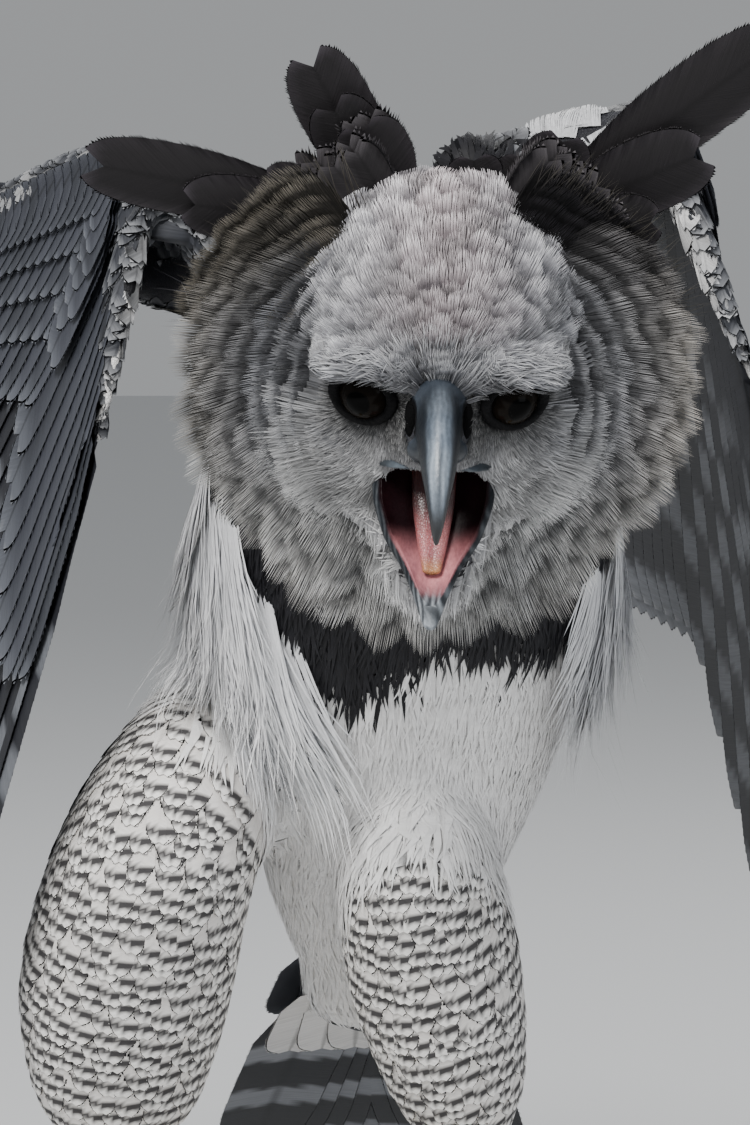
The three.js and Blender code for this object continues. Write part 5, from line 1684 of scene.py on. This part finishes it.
flank = []
for at, way_down, count in PLUME_CLUMPS:
    spots = np.array(at, float) + rng.normal(0, 1, (count, 3)) * (8, 15, 12)
    spots = lay(BODY_FIELD, place(spots), 0.003)
    ways = np.array(way_down, float) + rng.normal(0, 0.1, (count, 3))
    out = read_field(BODY_FIELD, spots)[1]
    uv = np.stack([spots[:, 1] + 0.5, spots[:, 2]], -1)
    sites = sites_of(spots, ways, out, rng.uniform(70, 132, count), rng.uniform(9, 15, count), uv, low=2.0,
                     high=rng.uniform(8, 34, count), cup=2.0, sway=rng.normal(0, 0.07, count),
                     tone=0xDFE0E3, tone_tip=0xF4F4F4)
    under = chosen(sites, np.arange(count) % 3 == 0)
    under.update(high=under["high"] * 0.5, length=under["length"] * 0.8)
    flank.append(hanging(under, plume_forms))
    for _ in range(2):
        ways = unit(sites["way"] + rng.normal(0, 0.08, (count, 3)))
        flank.append(hanging(dict(sites, half=sites["half"] * 1.3, way=ways), silk_forms))
coat("flank", flank, feather_white, "white_down")

# %% [markdown]
# A wing is a chart: x runs along the forearm, y towards the feathers' tips. Each flight
# feather has its root and turn from its place in the wing. The height rises by a small
# pitch from one feather to the next, so that neighbours overlap like tiles and never cross.


# %% Flight feathers of the wings
def wing_point(c, x, y, h):
    """A point of the chart. The sheet sags by its cup at 400 mm from the wrist."""
    sag = c["cup"] * (x**2 + y**2) / 400**2
    p = c["wrist"] + c["along"] * x[..., None] + c["out"] * y[..., None] + c["up"] * (h - sag)[..., None]
    return place(p)


def shaft_line(c, q):
    """Root and turn of the shaft with feather number q, from the outermost primary inwards."""
    x = np.interp(q, [-0.5, 9.5, 20.5, 23.5], [c["lean"], 0, c["arm"], c["arm"] - 4])
    y = np.interp(q, [-0.5, 9.5, 20.5, 23.5], [c["hand"], 0, 0, -9])
    turn = np.radians(np.interp(q, [0, 9.5, 20.5, 23.5], [31, 52, 62, 84]))
    return x, y, turn


def shaft_through(c, x, y):
    """The feather number whose shaft passes through a point of the chart, by halving."""
    low, high = np.full(x.shape, -3.0), np.full(x.shape, 27.0)
    for _ in range(22):
        q = (low + high) / 2
        rx, ry, turn = shaft_line(c, q)
        beyond = (x - rx) * np.cos(turn) - (y - ry) * np.sin(turn) > 0
        low, high = np.where(beyond, q, low), np.where(beyond, high, q)
    return (low + high) / 2


def long_set(form, points, lengths, uv, colour):
    """Long feathers as arrays of the kind that grow_feathers makes, with a random shade each."""
    n = len(form["x"])
    r = rng.uniform(0, 1, len(lengths))[:, None] + np.zeros(n)
    along = lengths[:, None] * form["phase"] + 0 * r
    shown = colour(form["x"] + 0 * r, np.abs(form["s"]) + 0 * r, r, lengths[:, None])
    offset = np.arange(len(lengths))[:, None, None] * n
    return {"points": points.reshape(-1, 3), "quads": (form["quads"][None] + offset).reshape(-1, 4),
            "tris": (form["tris"][None] + offset).reshape(-1, 3), "colours": shown.reshape(-1, 3),
            "vanes": np.stack([along, form["s"] + 0 * r, r], -1).reshape(-1, 3), "uvs": uv.reshape(-1, 2)}


def fanned(root_x, root_y, turn, lengths, half, form):
    """Where the points of turned feathers lie: x and y in the sheet, and both along the feather."""
    along, across = lengths[:, None] * form["x"], half * form["y"]
    x = root_x + along * np.sin(turn) + across * np.cos(turn)
    y = root_y + along * np.cos(turn) - across * np.sin(turn)
    return x, y, along, across


def wing_set(c, numbers, share, half, base, pitch, form, colour):
    """The feathers with these numbers, as a share of the flight feathers' lengths, at height base."""
    lengths = share * np.interp(numbers, [0, 2, 4, 6, 9.5, 20.5, 23.5], [300, 385, 420, 395, 330, 290, 215])
    root_x, root_y, turn = [v[:, None] for v in shaft_line(c, numbers)]
    x, y, along, _ = fanned(root_x, root_y, turn, lengths, half, form)
    over = pitch * (numbers[:, None] - shaft_through(c, x, y)) * np.minimum(1, 0.62 + 2 * form["x"])
    uv = np.stack([0.02 + 0.9 * root_x / 260 + 0.3 + 0 * x + 0.0015 * form["y"],
                   0.5 + 0.4 * (along + root_y) / 420 + 0 * x], -1)
    return long_set(form, wing_point(c, x, y, base + over), lengths, uv, colour)


def flight_outline(u):
    """Half width of a flight feather: half at the root, full from 0.3 on, rounded at the tip."""
    rise = 0.5 + 0.5 * np.minimum(1, u / 0.3)
    narrowed = 1 - 0.3 * np.clip((u - 0.7) / 0.3, 0, 1) ** 2
    return rise * narrowed * (1 - np.clip((u - 0.9) / 0.1, 0, 1) ** 2.2) ** 0.5


def banded(u, s, r, length):
    """Slate black with paler grey bands 62 mm apart, softer towards the root, and a pale tip."""
    band = smoothstep(0.2, 0.6, np.sin(2 * np.pi * (length * (1 - u) / 62 + 0.1 * r)))
    shown = mixed(0x25262B, 0x6F7278, band * smoothstep(0.1, 0.35, u) * 0.8)
    return mixed(shown, 0xA3A4A6, smoothstep(0.975, 1.0, u))


def dark_with_rim(u, s, r, length):
    """Slate with a paler rim all round and the palest tip."""
    shown = mixed(0x2B2D33, 0x3A3C44, r)
    shown = mixed(shown, 0x70747C, smoothstep(0.8, 1.0, np.maximum(u, 0.93 * s)) * 0.6)
    return mixed(shown, 0x9A9CA0, smoothstep(0.97, 1.0, u) * 0.6)


flight_form = vane_form(90, (0.33, 0.66, 0.97), flight_outline, 0.6, 0.07, 0.02, seed=100)
covert_form = vane_form(34, (0.45, 0.93), flight_outline, 0.8, 0.14, 0.05, seed=101)
feather_flight = feather_finish("flight feathers", 0.3, 0.45, 1.0, 0.5)
COVERT_ROWS = [
    (0, 9, 10, 0.42, 20, 5.0, 0.6), (9.6, 23, 14, 0.46, 20, 5.0, 0.6), (9.6, 23, 14, 0.34, 18, 7.0, 0.5),
    (7.6, 23, 17, 0.25, 17, 9.0, 0.5), (7.6, 23, 20, 0.17, 16, 11.0, 0.5),
    (7.6, 23, 23, 0.1, 15, 13.0, 0.5),
]
for side, c in CHARTS.items():
    flights = [wing_set(c, np.arange(24.0), 1.0, 24, 0.0, 1.2, flight_form, banded)]
    for first, last, count, share, half, base, pitch in COVERT_ROWS:
        numbers = np.linspace(first, last, count)
        flights.append(wing_set(c, numbers, share, half, base, pitch, covert_form, dark_with_rim))
    dress(coat_piece("flights_" + side, flights), feather_flight, "flight", "wing_hand_" + side)

# %% Small coverts on both faces of the wings
COVERT_SLATE, COVERT_WHITE = linear(0x2E3036), linear(0xDCDCDC)
covert_forms = several(vane_form, 3, 14, (0.8,), rounded(0.5, 0.6, 2.2), 1.0, 0.35, 0.1, seed=110)
soft_white = several(tuft_form, 4, 19, 3, 0.055, 1.2, seed=130, even=0.9, wild=0.1, round_off=0.5)


def white_patch(points):
    """White spots on the shoulder coverts of the left wing, about 88 mm from the middle."""
    x, y, z = to_mm(points).T
    near = np.exp(-(((x - 88) / 21) ** 2)) * smoothstep(530, 570, z)
    return near * (0.75 + 0.25 * np.sin(0.21 * x + 0.33 * y))


def white_over(p, way, out, uv):
    """Soft white tufts over the coverts, where the white patch is, or none."""
    if not (white_patch(p) > 0.35).any():
        return []
    on = white_patch(p) > rng.uniform(0.25, 0.75, len(p))
    length = rng.uniform(24, 36, on.sum())
    sites = sites_of(p[on], way[on], out[on], length, length * 0.3, uv[on], low=1.4, high=6.0,
                     sway=rng.normal(0, 0.08, on.sum()), tone=0xBFC0C3, tone_tip=0xEEEEEE)
    return [grow_feathers(sites, soft_white, down_tone, BODY_FIELD)]


def shaft_way(c, x, y):
    """The way of the flight feather that would pass through a point of the chart."""
    _, _, turn = shaft_line(c, shaft_through(c, x, y))
    return c["along"] * np.sin(turn)[:, None] + c["out"] * np.cos(turn)[:, None]


def covert_set(p, way, out, uv, length, half, high, tone, tip):
    """Coverts whose rims turn half way from their tone to the tip's."""
    sites = sites_of(p, way, out, length, half, uv, low=0.3, high=high, sway=rng.normal(0, 0.05, len(p)),
                     tone=tone, tone_tip=mixed(tone, tip, 0.5))
    return grow_feathers(sites, covert_forms, rimmed_tone, BODY_FIELD)


def face_coverts(c, face):
    """Coverts on one face of a wing: a grid of the chart that walks in until it meets the skin."""
    lines = np.arange(-46, c["arm"] + 60, 9.0), np.arange(-120, c["hand"] + 20, 8.0)
    x, y = np.meshgrid(*lines, indexing="ij")
    x = (x + 4.5 * (np.arange(x.shape[1]) % 2) + rng.uniform(-2, 2, x.shape)).reshape(-1)
    y = (y + rng.uniform(-2, 2, y.shape)).reshape(-1)
    start = wing_point(c, x, y, np.full(x.shape, 60.0 * face))
    p = start
    for _ in range(40):
        gap, out = read_field(BODY_FIELD, p)
        p = p - c["up"] * face * (0.7 * np.clip(gap, 0, 0.02))[:, None]
    gap, out = read_field(BODY_FIELD, p)
    travelled = norm(p - start, axis=1)
    hit = (gap < 0.0015) & (travelled < 0.085) & (out @ c["up"] * face > 0.12)
    way = shaft_way(c, x, y)
    p, out, way, x, y = p[hit], out[hit], way[hit], x[hit], y[hit]
    pale = np.maximum(smoothstep(10, -12, y) * 0.35, white_patch(p)) if face > 0 else np.full(len(p), 0.9)
    tone = mixed(COVERT_SLATE, COVERT_WHITE, pale)
    length = rng.uniform(22, 30, len(p))
    uv = np.stack([0.5 + x / 900, 0.3 + y / 900 + 0.35 * (face < 0)], -1)
    over = white_over(p, way, out, uv) if face > 0 else []
    return [*over, covert_set(p, way, out, uv, length, length * 0.36, 3.2, tone, 0x9A9CA0)]


def edge_coverts(c, loft):
    """Shorter coverts where a limb of the wing bends from one face to the other."""
    p, _, out, _, _ = loft_sites(loft, 0.02, 0.98, lambda t: 8.5 + 0 * t)
    p, out = [v[np.abs(out @ c["up"]) < 0.62] for v in (p, out)]
    from_wrist = to_mm(p) - c["wrist"]
    x, y = from_wrist @ c["along"], from_wrist @ c["out"]
    way = shaft_way(c, x, y) + 0.3 * c["along"]
    pale = smoothstep(0.1, -0.3, out @ c["up"]) * 0.9
    pale = np.maximum(pale * rng.uniform(0.7, 1, len(p)), white_patch(p))
    uv = np.stack([0.5 + x / 900, 0.9 + y / 2000], -1)
    tone = mixed(COVERT_SLATE, COVERT_WHITE, pale)
    over = white_over(p, way, out, uv)
    length = rng.uniform(18, 25, len(p))
    return [*over, covert_set(p, way, out, uv, length, 8.0, 2.6, tone, 0xA6A8AC)]


for side, c in CHARTS.items():
    grown = [*face_coverts(c, 1), *face_coverts(c, -1)]
    for loft in wing_limbs(c):
        grown += edge_coverts(c, loft)
    dress(coat_piece("coverts_" + side, grown), feather_dark, "slate")

# %% [markdown]
# The tail is a fan of twelve broad feathers, black with three grey bands and a pale end. The
# sheet they lie in arches a little across and droops towards the end.

# %% The tail
TAIL_AT, TAIL_DOWN = np.array([-2, 122, 212.0]), math.radians(22)


def tail_point(x, y, h):
    """A point of the fan's sheet, arched by 0.0006 x^2 and drooping by 14 mm at its end."""
    z = h - 0.0006 * x**2 - 14 * (y / 385) ** 2
    c, s = math.cos(TAIL_DOWN), math.sin(TAIL_DOWN)
    return place(TAIL_AT + np.stack([x, y * c + z * s, z * c - y * s], -1))


def tail_set(count, root_x, root_y, turn, lengths, half, base, pitch, form, colour):
    """A fan of count feathers, spread evenly to both sides and lower from the middle outwards."""
    k = (np.arange(count) - (count - 1) / 2)[:, None]
    x, y, along, across = fanned(k * root_x, root_y, k * turn, lengths, half, form)
    height = base - pitch * np.abs(k) + 0.05 * across * np.sign(-k)
    uv = np.stack([0.5 + k * 0.06 + 0.02 * form["y"] + 0 * x, 0.02 + 0.9 * along / 385 + 0 * x], -1)
    return long_set(form, tail_point(x, y, height + 0 * x), lengths, uv, colour)


def tail_bands(u, s, r, length):
    """Black with three broad grey bands, wavy along their edges, and a pale tip."""
    place_on = length * u - 4 * s
    band = 0
    for at in (120, 210, 300):
        band = np.maximum(band, smoothstep(19, 14, np.abs(place_on - at + 3 * np.sin(9 * s + 6 * r))))
    shown = mixed(0x1D1D21, 0x85878C, band)
    return mixed(shown, 0x9C9C9E, smoothstep(0.97, 1.0, u))


def pale_under(u, s, r, length):
    """One pale tone for the coverts below the tail."""
    return np.broadcast_to(linear(0xDEDCDA), (*u.shape, 3)) * (0.85 + 0.15 * r)[..., None]


lengths = 351 - 2.6 * np.abs(np.abs(np.arange(12) - 5.5) - 0.5) ** 1.5
tail_form = vane_form(90, (0.33, 0.66, 0.97), flight_outline, 0.5, 0.07, 0.02, seed=120)
tail = [tail_set(12, 4, 34, math.radians(16 / 12), lengths, 25, 6.2, 1.3, tail_form, tail_bands)]
for base, tone_of in ((12.0, dark_with_rim), (-8.0, pale_under)):
    tail.append(tail_set(6, 10, -6, 0.05, np.full(6, 130.0), 15, base, 0.6, covert_form, tone_of))
dress(coat_piece("tail_feathers", tail), feather_flight, "flight", "tail")

# %% [markdown]
# The skin under the coat carries the same colours, so that a gap between feathers shows
# nothing strange, and the walls of the open mouth are dark wet flesh.

# %% The skin's colours
local = to_head(skin_points)
mm = to_mm(skin_points)
headward = norm((local - [0, 30, 0]) / (80, 72, 84), axis=1)
spine = np.array([s[0] for s in BODY["stations"]], float)
nearest = spine[np.argmin(norm(mm[:, None] - spine[None], axis=2), axis=1)]
from_spine = unit(mm - nearest)
tone = body_tones(skin_points, smoothstep(-0.1, 0.5, from_spine @ np.array([0, 0.86, 0.5])))
face_tone = mixed(0x5A5B60, 0x2A2A2E, smoothstep(36, 60, local[:, 1]))
bare = 9 + norm(from_nostril(local), axis=1)
for sign in (-1, 1):
    bare = np.minimum(bare, norm(local - EYE_AT * [sign, 1, 1], axis=1))
face_tone = mixed(face_tone, 0x2E2F34, smoothstep(26, 18, bare))
tone = mixed(tone, face_tone, smoothstep(1.15, 1.0, headward))
tone = mixed(tone, 0x5B2B2E, (in_mouth(local, 0.9) & (local[:, 1] > -30)).astype(float))
give(skin, "Plumage", tone)
skin_finish = hide_finish("skin", 0xFFFFFF, 700.0, 0.4, True, Roughness=0.6, Specular_IOR_Level=0.3)
dress(skin, skin_finish, "white_down", "head", "neck", "torso", "wing_arm_right", "wing_arm_left")

# %% [markdown]
# The floor is plain and pale, and the light is that of a studio: one large soft light high
# on the left, a weaker one on the right, and an even pale room. The camera stands where the
# photo was taken from, a little above the eyes' height and far off, with a long lens.

# %% Floor, lights and camera
bpy.ops.mesh.primitive_plane_add(size=12)
floor = bpy.context.object
floor.name = "studio_floor"
floor_look, tree, shader = finish("studio floor", Roughness=0.8)
shader.inputs["Base Color"].default_value = (0.62, 0.63, 0.64, 1)
floor.data.materials.append(floor_look)

AIM = place([(0, -240, 450)])[0]


def area_light(name, at, size, power, tint):
    """A square soft light at metres from the aim, turned towards it."""
    data = bpy.data.lights.new(name, "AREA")
    data.size, data.energy, data.color = size, power, tint
    light = bpy.data.objects.new(name, data)
    light.location = AIM + np.array(at)
    light.rotation_euler = Vector(-np.array(at)).to_track_quat("-Z", "Y").to_euler()
    bpy.context.scene.collection.objects.link(light)


area_light("key", (-0.9, -1.6, 1.9), 1.0, 122, (1.0, 0.985, 0.96))
area_light("fill", (1.9, -1.5, 0.7), 1.6, 16, (0.93, 0.96, 1.0))
area_light("back", (0.6, 1.9, 1.6), 1.4, 26, (1, 1, 1))
world = bpy.data.worlds.new("studio")
world.use_nodes = True
room = world.node_tree.nodes["Background"]
room.inputs["Color"].default_value = (0.80, 0.82, 0.84, 1)
room.inputs["Strength"].default_value = 0.43
bpy.context.scene.world = world

ELEVATION, DISTANCE, SEEN_HEIGHT = math.radians(6), 3.2, 0.4838
lens = bpy.data.cameras.new("camera")
lens.sensor_fit, lens.sensor_height, lens.sensor_width = "VERTICAL", 36, 24
lens.lens = lens.sensor_height * DISTANCE / SEEN_HEIGHT
camera = bpy.data.objects.new("camera", lens)
camera.location = AIM + DISTANCE * np.array([0, -math.cos(ELEVATION), math.sin(ELEVATION)])
camera.rotation_euler = Vector(AIM - np.array(camera.location)).to_track_quat("-Z", "Y").to_euler()
bpy.context.scene.collection.objects.link(camera)
bpy.context.scene.camera = camera
